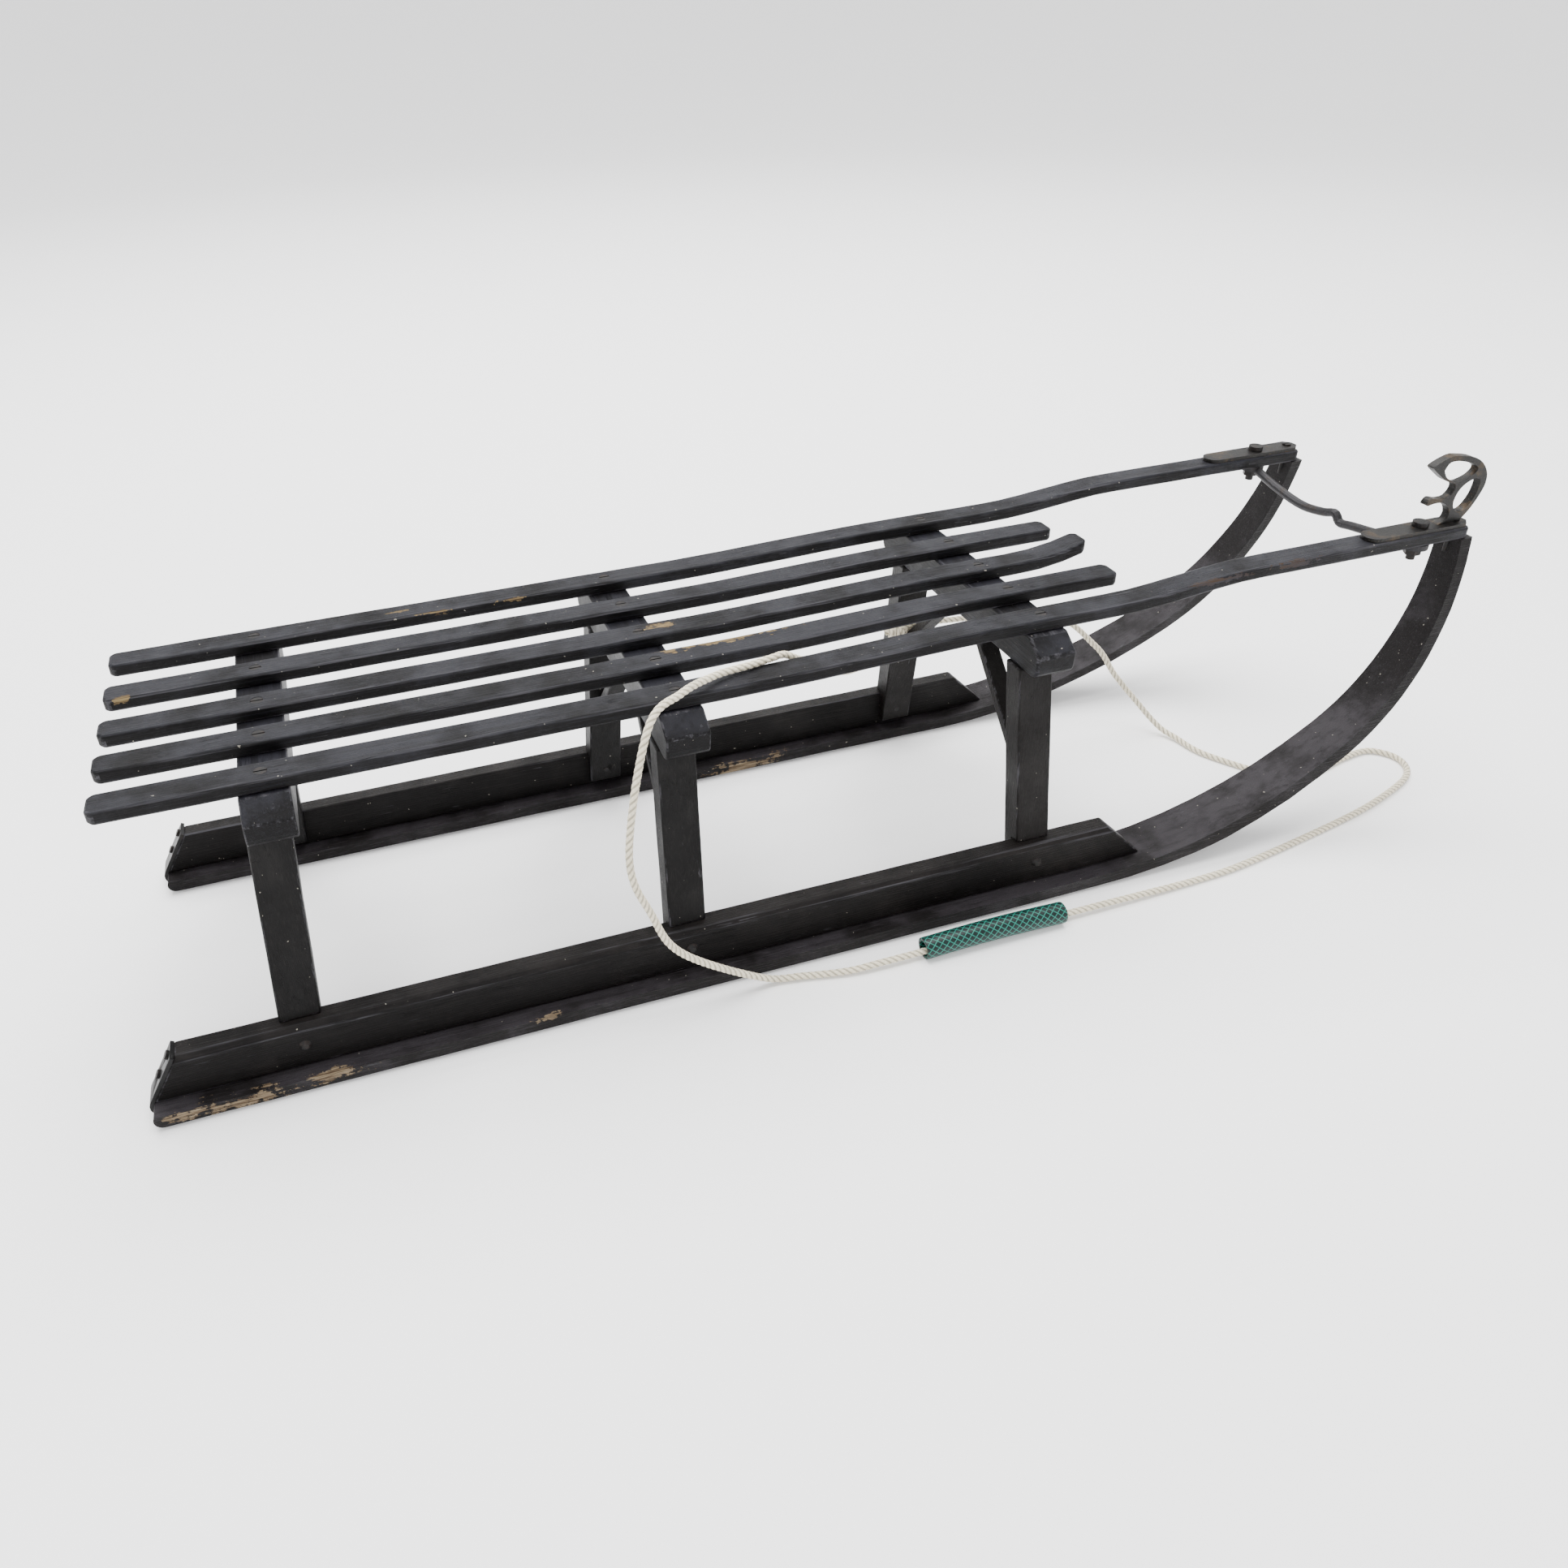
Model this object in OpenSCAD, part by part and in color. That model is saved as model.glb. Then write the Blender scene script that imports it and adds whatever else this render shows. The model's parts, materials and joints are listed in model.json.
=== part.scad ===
// Slatted wooden sled: five slats on three trestles, bent-wood runners with steel soles,
// a wavy tie rod between the tips, a cast scroll horn and a pull rope with a hose grip.
// +X points forward, +Y to the left, +Z up. X sizes run forward from the rear crossbar.

/* [Seat] */
// Height of the seat top over the ground
seat_h = 246; // [200:1:300]
// Width of a slat and of a rail
slat_w = 23; // [16:0.5:30]
// Thickness of a slat and of a rail
slat_t = 10.5; // [8:0.5:16]
// Distance of each rail's middle from the centre line
rail_y = 100; // [85:1:125]
// Distance of the left slat from the centre line
slat_left_y = 46; // [36:1:60]
// Distance of the middle slat from the centre line
slat_middle_y = -5; // [-8:1:8]
// Distance of the right slat from the centre line
slat_right_y = -52; // [-60:1:-40]
// Overhang of the slats behind the rear crossbar
slat_back = 110; // [60:1:160]
// Reach of the slats in front of the front crossbar
slat_front = 98; // [50:1:140]
// Reach of the rails in front of the front crossbar
rail_front = 411; // [380:1:450]
// How far the rails rise towards their tips
rail_rise = 15; // [6:1:20]
// How far the front end of the middle slat has bent up
slat_curl = 10; // [0:1:20]

/* [Trestles] */
// Distance from the rear to the middle crossbar
bay_rear = 291; // [240:1:340]
// Distance from the middle to the front crossbar
bay_front = 301; // [240:1:340]
// Fore and aft width of a crossbar
bar_w = 34; // [28:1:44]
// Height of a crossbar
bar_h = 32; // [24:1:40]
// Reach of the crossbars to the left of the centre line
bar_left = 138; // [130:1:150]
// Reach of the crossbars to the right of the centre line
bar_right = 130; // [125:1:150]
// Fore and aft width of a post
post_w = 30; // [22:1:32]
// Thickness of a post from side to side
post_t = 20; // [14:1:24]
// Distance of a post's middle from the centre line at its top
post_top_y = 100; // [90:1:108]
// Fore and aft width of a knee brace
brace_w = 16; // [10:1:20]
// Thickness of a knee brace
brace_t = 9; // [5:0.5:12]

/* [Runners] */
// Distance of a runner's middle from the centre line
runner_y = 135; // [125:1:150]
// Width of the runner lath on the ground
lath_w = 46; // [36:1:56]
// Width of the runner lath at the tip
lath_tip_w = 25; // [20:1:30]
// Thickness of the runner lath
lath_t = 11; // [8:0.5:14]
// Thickness of the steel sole
sole_t = 3; // [2:0.5:4]
// Width of the steel sole
sole_w = 30; // [20:1:34]
// Width of the runner beam
beam_w = 18; // [14:1:24]
// Height of the runner beam
beam_h = 37.5; // [28:0.5:46]
// Reach of the beam's foot in front of the front crossbar
beam_front = 108; // [95:1:130]
// Radius of the long sweep where the runner leaves the ground
sweep_r = 500; // [460:5:540]

/* [Iron work] */
// Diameter of the tie rod
rod_d = 8; // [6:0.5:10]
// Diameter of the bolts through the tips
bolt_d = 7; // [5:0.5:8]
// Thickness of the horn's tang
tang_t = 3.5; // [2.5:0.5:5]
// Thickness of the cast scroll
scroll_t = 7; // [5:0.5:9]
// Diameter of the shank of a slat screw
screw_d = 4; // [3:0.5:5]

/* [Pull rope] */
// Diameter of the pull rope
rope_d = 6; // [5:0.5:6]
// Outer diameter of the hose grip
hose_d = 18; // [16:0.5:20]
// Wall of the hose grip
hose_wall = 2.6; // [2:0.1:3]
// Length of the hose grip
hose_len = 128; // [80:1:150]

/* [Hidden] */

big = 1500; // more than any cut has to reach
fit = 0.1; // gap round a shank or a tenon
left = 1;
right = -1;
$fn = 48;

// Colours
worn_black = "#2b2a2c";
worn_black_side = "#232224";
brown_black = "#2e2826";
iron = "#3a3835";
cord_white = "#e4ddc8";
hose_green = "#17594a";

// Stations along the sled
x_rear = 0;
x_middle = bay_rear;
x_front = bay_rear + bay_front;
x_tip = x_front + rail_front;
x_bars = [x_rear, x_middle, x_front];

// Heights
seat_lift = 5; // how much higher the front crossbar stands than the others
lifts = [0, 0, seat_lift];
bar_top = seat_h - slat_t;
bar_low = bar_top - bar_h;
lath_top = sole_t + lath_t;
beam_top = lath_top + beam_h;
tip_low = bar_top + rail_rise; // underside of the rails at their tips
tip_top = seat_h + rail_rise;

// Seat
lift_run = 40; // the seat starts to climb this far in front of the middle crossbar
rise_run = 200; // the rails reach their full rise this far in front of the front crossbar
curl_run = slat_front - bar_w; // length of the bent end of the middle slat
end_cut = 4; // corners cut off the ends of slats and rails
slat_steps = 12;

// Crossbar ends
bar_drop = 12; // how far down the end's slope reaches from the top
bar_slope = 16; // how far in the end's slope reaches
bar_round = 9;

// Posts
post_back = 4; // how far the posts' tops stand behind the middle of their crossbar
foot_leans = [-9, -3, 4]; // how far each pair of feet stands in front of its tops
foot_in = 11; // how far a foot's middle stands inside its runner's middle
foot_lap = 30; // how far a foot reaches down beside its beam
tenon_w = 0.66 * post_w;
tenon_t = 0.6 * post_t;
tenon_len = 0.6 * bar_h;
post_foot_y = runner_y - foot_in;

// Knee braces, in the plane of their trestle
brace_root = 116; // a brace's lower end, from the centre line to the middle of its post
brace_low_y = brace_root - post_t / 2;
brace_high_y = 22;
brace_drop = 94;

// Beam ends and heel
heel_x = -100; // upper rear edge of the beams
heel_slope = 22;
nose_slope = 38;
beam_chamfer = 4;
heel_angle = atan2(beam_h, heel_slope);
heel_r = 0.95 * lath_t / (1 + cos(heel_angle)); // rounds the heel below the lath's top
heel_foot = heel_x - heel_slope * (beam_top - sole_t) / beam_h;
heel_cx = heel_foot + heel_r / tan(heel_angle / 2);
heel_cz = sole_t + heel_r;
heel_steps = 6;

// Runner line: flat, a long sweep, then a tighter bow that ends upright under the rail
sweep_angle = 31;
bow_angle = 88;
tip_lead = 5; // how far the lath's outer side stands in front of the rails' tips
sweep_steps = 8;
bow_steps = 16;
sweep_end_z = sweep_r * (1 - cos(sweep_angle));
bow_r = (tip_low - sweep_end_z) / (cos(sweep_angle) - cos(bow_angle));
sweep_end_x = x_tip + tip_lead - bow_r * (sin(bow_angle) - sin(sweep_angle));
sweep_start = sweep_end_x - sweep_r * sin(sweep_angle);
bow_cx = sweep_end_x - bow_r * sin(sweep_angle);
bow_cz = sweep_end_z + bow_r * cos(sweep_angle);

// Iron work
bolt_x = x_tip - 46;
bolt_head_d = 13;
bolt_head_h = 4.5;
nut_af = 12;
nut_h = 6;
bolt_proud = 5; // how far a bolt stands out of its nut
eye_d = 22;
eye_t = 5;
tang_len = 104;
tang_w = 19;
tang_cut = 6;
tip_screw_x = x_tip - 9;
tip_screw_len = 26;
scroll_x = x_tip - 20;
scroll_reach = 28.5; // how far the scroll stands in front of scroll_x

// Screws, rivets and nails
head_d = 9;
head_h = 1.6;
slot_w = 1.2;
slot_h = 0.7;
screw_bite = 0.28 * bar_h; // how deep a slat screw stands in its crossbar
rivet_d = 5;
rivet_head_d = 9;
rivet_head_h = 2.5;
rivet_z = beam_top - 17;
nail_d = 3;
nail_head_d = 6.5;
nail_head_h = 2;
nail_len = 14;
heel_nail_drops = [5, 24]; // down the slope from the beam's upper edge
sole_screw_d = 3.5;
sole_head_d = 7;
sole_head_h = 1.8;
sole_screw_len = 26;
sole_screw_xs = [heel_x + 12, x_rear + 60, x_middle - 60, x_middle + 70, x_front - 50, x_front + 40];

// The origin stands midway between the heel strap and the scroll
mid_x = (heel_cx - heel_r - sole_t + scroll_x + scroll_reach) / 2;

// Pull rope
rope_r = rope_d / 2;
rope_rings = 64;
turn_rings = 16;
rope_sides = 8;
turn_gap = 1; // room between the turn of rope and its post
rope_gap = 0.2; // room between the rope and what it lies on or runs through
floor_z = rope_r + rope_gap;
seat_z = seat_h + rope_r + rope_gap;
side_y = runner_y + lath_w / 2 + 24; // the rope beside the sled
hose_x = x_middle + 241;
hose_z = hose_wall + rope_r + rope_gap;

// ---------------------------------------------------------------- functions

// Smooth step from 0 at a to 1 at b
function ramp(x, a, b) = let(t = min(1, max(0, (x - a) / (b - a)))) t * t * (3 - 2 * t);

// How much the seat has climbed at x
function seat_climb(x) = seat_lift * ramp(x, x_middle + lift_run, x_front - bar_w);

// How much a rail has climbed at x
function rail_climb(x) =
    seat_climb(x) + (rail_rise - seat_lift) * ramp(x, x_front + 2 * bar_w, x_front + rise_run);

// How much a slat has climbed at x, with its front end bent up by curl
function slat_climb(x, curl) =
    let(t = max(0, (x - x_front - slat_front + curl_run) / curl_run)) seat_climb(x) + curl * t * t;

function reversed(v) = [for (i = [len(v) - 1 : -1 : 0]) v[i]];

// A line of the runner that lies off above its outer side, from the floor to the tip
function runner_line(off) = concat(
    [for (i = [0 : sweep_steps - 1])
        let(a = i * sweep_angle / sweep_steps)
        [sweep_start + (sweep_r - off) * sin(a), sweep_r - (sweep_r - off) * cos(a)]],
    [for (i = [0 : bow_steps])
        let(a = sweep_angle + i * (90 - sweep_angle) / bow_steps)
        [bow_cx + (bow_r - off) * sin(a), bow_cz - (bow_r - off) * cos(a)]]
);

// The rounded heel at a distance grow outside the lath, from the slope down to the floor
function heel_arc(grow) =
    [for (i = [0 : heel_steps])
        let(a = 90 + heel_angle + i * (180 - heel_angle) / heel_steps)
        [heel_cx + (heel_r + grow) * cos(a), heel_cz + (heel_r + grow) * sin(a)]];

function unit(v) = v / norm(v);

// A point of the Catmull-Rom curve between b and c, at t from 0 to 1
function between(a, b, c, d, t) =
    0.5 * (2 * b + (c - a) * t + (2 * a - 5 * b + 4 * c - d) * t * t
    + (3 * b - a - 3 * c + d) * t * t * t);

// A smooth curve through the points p, with n points in all
function smooth_line(p, n) =
    let(last = len(p) - 1)
    [for (k = [0 : n - 1])
        let(u = k * last / (n - 1), i = min(last - 1, floor(u)))
        between(p[max(0, i - 1)], p[i], p[i + 1], p[min(last, i + 2)], u - i)];

// Directions of a line at its points
function ways(p) =
    [for (i = [0 : len(p) - 1]) unit(p[min(len(p) - 1, i + 1)] - p[max(0, i - 1)])];

// A side direction for each point, carried along without twist
function carried(t, n, i = 0) =
    i == len(t) ? [] :
    let(m = unit(n - (n * t[i]) * t[i]))
    concat([m], carried(t, m, i + 1));

// Outline of a flat stroke along points [x, y, half width]
function stroke_sides(p) =
    let(t = ways([for (q = p) [q[0], q[1]]]))
    concat(
        [for (i = [0 : len(p) - 1]) [p[i][0] - t[i][1] * p[i][2], p[i][1] + t[i][0] * p[i][2]]],
        reversed([for (i = [0 : len(p) - 1])
            [p[i][0] + t[i][1] * p[i][2], p[i][1] - t[i][0] * p[i][2]]])
    );

// ---------------------------------------------------------------- helpers

// Moves sled stations to the part's origin
module placed() {
    translate([-mid_x, 0, 0]) children();
}

// Lays a side view (x forward, y up) out as a solid of width w about y
module from_side(w, y = 0) {
    translate([0, y, 0]) rotate([90, 0, 0]) linear_extrude(height = w, center = true) children();
}

// Lays a front view (x to the left, y up) out as a solid along the sled
module from_front(length, x = 0) {
    translate([x, 0, 0]) rotate([90, 0, 90]) linear_extrude(height = length, center = true) children();
}

// Turns upright children so that they stand along the way from foot to top
module stood(foot, top) {
    v = top - foot;
    translate(foot) rotate([-asin(v[1] / norm(v)), atan2(v[0], v[2]), 0]) children();
}

// A tube of 8 or more flat sides along the points p
module swept(p, r, sides) {
    t = ways(p);
    n = carried(t, [0, 0.2, 1]);
    rings = [for (i = [0 : len(p) - 1]) for (k = [0 : sides - 1])
        let(a = 360 * k / sides)
        p[i] + r * cos(a) * n[i] + r * sin(a) * cross(t[i], n[i])];
    skin = [for (i = [0 : len(p) - 2]) for (k = [0 : sides - 1])
        let(m = (k + 1) % sides)
        [i * sides + k, (i + 1) * sides + k, (i + 1) * sides + m, i * sides + m]];
    caps = [[for (k = [0 : sides - 1]) k], [for (k = [sides - 1 : -1 : 0]) (len(p) - 1) * sides + k]];
    polyhedron(points = rings, faces = concat(skin, caps), convexity = 10);
}

// A screw or nail that points down: head on z = 0, shank below
module pinned(head_d, head_h, shank_d, length, slotted = false) {
    difference() {
        cylinder(d = head_d, h = head_h);
        if (slotted) {
            translate([-head_d, -slot_w / 2, head_h - slot_h]) cube([2 * head_d, slot_w, head_h]);
        }
    }
    translate([0, 0, -length]) cylinder(d = shank_d, h = length + head_h / 2);
}

// ---------------------------------------------------------------- seat

// Plan of a slat with its corners cut off
module slat_plan(x0, x1) {
    half = slat_w / 2;
    polygon([
        [x0 + end_cut, -half], [x1 - end_cut, -half], [x1, end_cut - half], [x1, half - end_cut],
        [x1 - end_cut, half], [x0 + end_cut, half], [x0, half - end_cut], [x0, end_cut - half]
    ]);
}

// Holes for the screws of one slat, with a recess for each head
module slat_holes(y) {
    for (i = [0 : 2]) {
        translate([x_bars[i], y, 0]) cylinder(d = screw_d + 2 * fit, h = big);
        translate([x_bars[i], y, seat_h + lifts[i] - head_h]) cylinder(d = head_d + 2 * fit, h = big);
    }
}

module slat(y, curl) {
    x0 = -slat_back;
    x1 = x_front + slat_front;
    xs = [for (i = [0 : 3 * slat_steps]) x0 + i * (x1 - x0) / (3 * slat_steps)];
    difference() {
        intersection() {
            from_side(slat_w, y) polygon(concat(
                [for (x = xs) [x, bar_top + slat_climb(x, curl)]],
                reversed([for (x = xs) [x, seat_h + slat_climb(x, curl)]])
            ));
            translate([0, y, 0]) linear_extrude(height = big) slat_plan(x0, x1);
        }
        slat_holes(y);
    }
}

module rail(side) {
    y = side * rail_y;
    xs = [for (i = [0 : 4 * slat_steps]) -slat_back + i * (x_tip + slat_back) / (4 * slat_steps)];
    difference() {
        intersection() {
            from_side(slat_w, y) polygon(concat(
                [for (x = xs) [x, bar_top + rail_climb(x)]],
                reversed([for (x = xs) [x, seat_h + rail_climb(x)]])
            ));
            translate([0, y, 0]) linear_extrude(height = big) slat_plan(-slat_back, x_tip);
        }
        slat_holes(y);
        translate([bolt_x, y, 0]) cylinder(d = bolt_d + 2 * fit, h = big);
        translate([tip_screw_x, y, 0]) cylinder(d = screw_d + 2 * fit, h = big);
    }
}

module rail_left() {
    color(worn_black) placed() rail(left);
}

module rail_right() {
    color(worn_black) placed() rail(right);
}

module slat_left() {
    color(worn_black) placed() slat(slat_left_y, 0);
}

module slat_middle() {
    color(worn_black) placed() slat(slat_middle_y, slat_curl);
}

module slat_right() {
    color(worn_black) placed() slat(slat_right_y, 0);
}

// ---------------------------------------------------------------- trestles

// Middle of a post's top under crossbar i
function post_top(i, side) =
    [x_bars[i] - post_back, side * post_top_y, bar_low + lifts[i]];

// Middle of a post's foot on the beam
function post_foot(i, side) =
    [x_bars[i] - post_back + foot_leans[i], side * post_foot_y, beam_top];

// Half the outline of a crossbar, from its underside round the end to its top
function bar_end(reach, side) = concat(
    [for (i = [0 : 4])
        let(a = -90 + i * 90 / 4)
        [side * (reach - bar_round + bar_round * cos(a)), bar_round + bar_round * sin(a)]],
    [[side * reach, bar_h - bar_drop], [side * (reach - bar_slope), bar_h]]
);

// The tenon of a post, grown by a gap on all sides
module tenon(i, side, gap) {
    top = post_top(i, side);
    foot = post_foot(i, side);
    h = norm(top - foot);
    w = tenon_w + 2 * gap;
    t = tenon_t + 2 * gap;
    stood(foot, top) translate([-w / 2, -t / 2, h - tenon_len]) cube([w, t, 2 * tenon_len + gap]);
}

module crossbar(i) {
    difference() {
        translate([0, 0, bar_low + lifts[i]]) from_front(bar_w, x_bars[i])
            polygon(concat(bar_end(bar_left, left), reversed(bar_end(bar_right, right))));
        tenon(i, left, fit);
        tenon(i, right, fit);
        for (y = [rail_y, slat_left_y, slat_middle_y, slat_right_y, -rail_y]) {
            translate([x_bars[i], y, bar_top + lifts[i] - screw_bite - fit])
                cylinder(d = screw_d + 2 * fit, h = bar_h);
        }
    }
}

// The room over a crossbar's underside
module over_bar_low(i) {
    translate([-big, -big, bar_low + lifts[i]]) cube([2 * big, 2 * big, big]);
}

module post_stock(i, side) {
    stood(post_foot(i, side), post_top(i, side))
        translate([-post_w / 2, -post_t / 2, -2 * foot_lap]) cube([post_w, post_t, bar_low + bar_h]);
}

module post(i, side) {
    beam_in = runner_y - beam_w / 2;
    difference() {
        union() {
            difference() {
                post_stock(i, side);
                over_bar_low(i);
            }
            tenon(i, side, 0);
        }
        // the step that stands on the beam
        scale([1, side, 1]) translate([-big, beam_in, -big]) cube([2 * big, big, big + beam_top]);
        translate([-big, -big, -big]) cube([2 * big, 2 * big, big + beam_top - foot_lap]);
        // the rivet's hole
        translate([post_foot(i, side)[0], 0, rivet_z]) rotate([90, 0, 0])
            cylinder(d = rivet_d + 2 * fit, h = big, center = true);
    }
}

module brace(i, side) {
    lean = foot_leans[i] * brace_drop / (bar_low + lifts[i] - beam_top);
    low = [x_bars[i] - post_back + lean, side * brace_low_y, bar_low + lifts[i] - brace_drop];
    high = [x_bars[i] - post_back, side * brace_high_y, bar_low + lifts[i]];
    difference() {
        stood(low, high) translate([-brace_w / 2, -brace_t / 2, 0])
            cube([brace_w, brace_t, norm(high - low) + brace_t]);
        post_stock(i, side);
        over_bar_low(i);
    }
}

module crossbar_rear() {
    color(worn_black) placed() crossbar(0);
}

module crossbar_middle() {
    color(worn_black) placed() crossbar(1);
}

module crossbar_front() {
    color(worn_black) placed() crossbar(2);
}

module post_rear_left() {
    color(worn_black_side) placed() post(0, left);
}

module post_rear_right() {
    color(worn_black_side) placed() post(0, right);
}

module post_middle_left() {
    color(worn_black_side) placed() post(1, left);
}

module post_middle_right() {
    color(worn_black_side) placed() post(1, right);
}

module post_front_left() {
    color(worn_black_side) placed() post(2, left);
}

module post_front_right() {
    color(worn_black_side) placed() post(2, right);
}

module brace_rear_left() {
    color(worn_black_side) placed() brace(0, left);
}

module brace_rear_right() {
    color(worn_black_side) placed() brace(0, right);
}

module brace_middle_left() {
    color(worn_black_side) placed() brace(1, left);
}

module brace_middle_right() {
    color(worn_black_side) placed() brace(1, right);
}

module brace_front_left() {
    color(worn_black_side) placed() brace(2, left);
}

module brace_front_right() {
    color(worn_black_side) placed() brace(2, right);
}

// ---------------------------------------------------------------- runners

// Front view of a runner strip: straight on the ground, then tapering to the tip
module strip_front(side, low_w, tip_w) {
    z1 = lath_top + sole_t;
    polygon([
        [side * (runner_y - low_w / 2), -sole_t], [side * (runner_y + low_w / 2), -sole_t],
        [side * (runner_y + low_w / 2), z1], [side * (rail_y + tip_w / 2), tip_low],
        [side * (rail_y - tip_w / 2), tip_low], [side * (runner_y - low_w / 2), z1]
    ]);
}

// Keeps what lies inside the strip's front view
module in_strip(side, low_w, tip_w) {
    intersection() {
        children();
        from_front(2 * big) strip_front(side, low_w, tip_w);
    }
}

// Shanks of the screws that hold the sole, the lath and the beam together
module sole_shanks(side, gap) {
    for (x = sole_screw_xs) {
        translate([x, side * runner_y, 0]) cylinder(d = sole_screw_d + 2 * gap, h = sole_screw_len + gap);
    }
}

// Axes of the heel nails: children point down through the heel strap
module at_heel_nails(side) {
    for (s = heel_nail_drops) {
        translate([heel_x - s * cos(heel_angle), side * runner_y, beam_top - s * sin(heel_angle)])
            rotate([0, -heel_angle, 0]) translate([0, 0, sole_t]) children();
    }
}

module runner_beam(side) {
    x_nose = x_front + beam_front;
    y_in = runner_y - beam_w / 2;
    y_out = runner_y + beam_w / 2;
    difference() {
        intersection() {
            from_side(beam_w, side * runner_y) polygon([
                [heel_x, beam_top], [x_nose - nose_slope, beam_top], [x_nose, lath_top],
                [heel_x - heel_slope, lath_top]
            ]);
            from_front(2 * big) polygon([
                [side * y_in, 0], [side * y_out, 0], [side * y_out, beam_top - beam_chamfer],
                [side * (y_out - beam_chamfer), beam_top], [side * y_in, beam_top]
            ]);
        }
        from_side(big) polygon(concat(
            runner_line(lath_top), [[x_tip, 0], [sweep_start, 0]]
        ));
        sole_shanks(side, fit);
        at_heel_nails(side) translate([0, 0, -nail_len - fit]) cylinder(d = nail_d + 2 * fit, h = nail_len);
        for (i = [0 : 2]) {
            translate([post_foot(i, side)[0], 0, rivet_z]) rotate([90, 0, 0])
                cylinder(d = rivet_d + 2 * fit, h = big, center = true);
        }
    }
}

module runner_lath(side) {
    difference() {
        in_strip(side, lath_w, lath_tip_w) from_side(big) polygon(concat(
            [[heel_x - heel_slope, lath_top]],
            [for (q = heel_arc(0)) if (q[1] < lath_top - fit) q],
            runner_line(sole_t),
            reversed(runner_line(lath_top))
        ));
        sole_shanks(side, fit);
        translate([tip_screw_x, side * rail_y, tip_top - tip_screw_len - fit])
            cylinder(d = screw_d + 2 * fit, h = tip_screw_len);
    }
}

module runner_sole(side) {
    slope_out = [heel_x - sole_t * sin(heel_angle), beam_top + sole_t * cos(heel_angle)];
    difference() {
        in_sole(side) from_side(big) polygon(concat(
            [slope_out], heel_arc(sole_t), runner_line(0),
            reversed(runner_line(sole_t)), reversed(heel_arc(0)), [[heel_x, beam_top]]
        ));
        sole_shanks(side, fit);
        for (x = sole_screw_xs) {
            translate([x, side * runner_y, -fit]) cylinder(d = sole_head_d + 2 * fit, h = sole_head_h + fit);
        }
        at_heel_nails(side) translate([0, 0, -2 * sole_t]) cylinder(d = nail_d + 2 * fit, h = 3 * sole_t);
    }
}

// The sole is a narrower strip; at the heel it narrows to the beam
module in_sole(side) {
    intersection() {
        in_strip(side, sole_w, lath_tip_w - 4) children();
        linear_extrude(height = big, center = true) polygon([
            [-big, side * (runner_y - beam_w / 2)], [heel_x, side * (runner_y - beam_w / 2)],
            [heel_x + beam_w, 0], [big, 0], [big, side * big], [heel_x + beam_w, side * big],
            [heel_x, side * (runner_y + beam_w / 2)], [-big, side * (runner_y + beam_w / 2)]
        ]);
    }
}

module runner_beam_left() {
    color(worn_black_side) placed() runner_beam(left);
}

module runner_beam_right() {
    color(worn_black_side) placed() runner_beam(right);
}

module runner_lath_left() {
    color(brown_black) placed() runner_lath(left);
}

module runner_lath_right() {
    color(brown_black) placed() runner_lath(right);
}

module runner_sole_left() {
    color(iron) placed() runner_sole(left);
}

module runner_sole_right() {
    color(iron) placed() runner_sole(right);
}

// ---------------------------------------------------------------- fixings

module slat_screws() {
    color(iron) placed() for (i = [0 : 2]) for (y = [rail_y, slat_left_y, slat_middle_y, slat_right_y, -rail_y]) {
        translate([x_bars[i], y, seat_h + lifts[i] - head_h])
            pinned(head_d, head_h - fit, screw_d, slat_t - head_h + screw_bite, slotted = true);
    }
}

// Rivets that hold the posts' feet to the inner sides of the beams
module foot_rivets() {
    y_out = runner_y + beam_w / 2;
    y_in = post_foot_y - post_t / 2 + 2;
    color(iron) placed() for (side = [left, right]) for (i = [0 : 2]) {
        translate([post_foot(i, side)[0], side * y_out, rivet_z]) rotate([side * -90, 0, 0]) {
            cylinder(d1 = rivet_head_d, d2 = rivet_d, h = rivet_head_h);
            translate([0, 0, y_in - y_out]) cylinder(d = rivet_d, h = y_out - y_in + rivet_head_h / 2);
        }
    }
}

module heel_nails() {
    color(iron) placed() for (side = [left, right]) at_heel_nails(side)
        pinned(nail_head_d, nail_head_h, nail_d, nail_len);
}

module sole_screws() {
    color(iron) placed() for (side = [left, right]) {
        difference() {
            sole_shanks(side, 0);
            translate([-big, -big, -1]) cube([2 * big, 2 * big, 1 + 2 * fit]);
        }
        for (x = sole_screw_xs) {
            translate([x, side * runner_y, 2 * fit]) cylinder(d = sole_head_d, h = sole_head_h - 2 * fit);
        }
    }
}

// Screws down through the tangs and rails into the ends of the runner laths
module tip_screws() {
    color(iron) placed() for (side = [left, right]) {
        translate([tip_screw_x, side * rail_y, tip_top + tang_t])
            pinned(head_d - 1, head_h, screw_d, tang_t + tip_screw_len - fit, slotted = true);
    }
}

// ---------------------------------------------------------------- tip irons

// Plan of a tang: rounded at the back, clipped at the front
module tang_plan() {
    half = tang_w / 2;
    x0 = x_tip - tang_len;
    translate([x0 + half, 0]) circle(r = half);
    polygon([
        [x0 + half, -half], [x_tip - tang_cut, -half], [x_tip, tang_cut - half],
        [x_tip, half - tang_cut], [x_tip - tang_cut, half], [x0 + half, half]
    ]);
}

module tang(side) {
    translate([0, side * rail_y, tip_top]) difference() {
        linear_extrude(height = tang_t) tang_plan();
        translate([bolt_x, 0, -fit]) cylinder(d = bolt_d + 2 * fit, h = big);
        translate([tip_screw_x, 0, -fit]) cylinder(d = screw_d + 2 * fit, h = big);
    }
}

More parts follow.
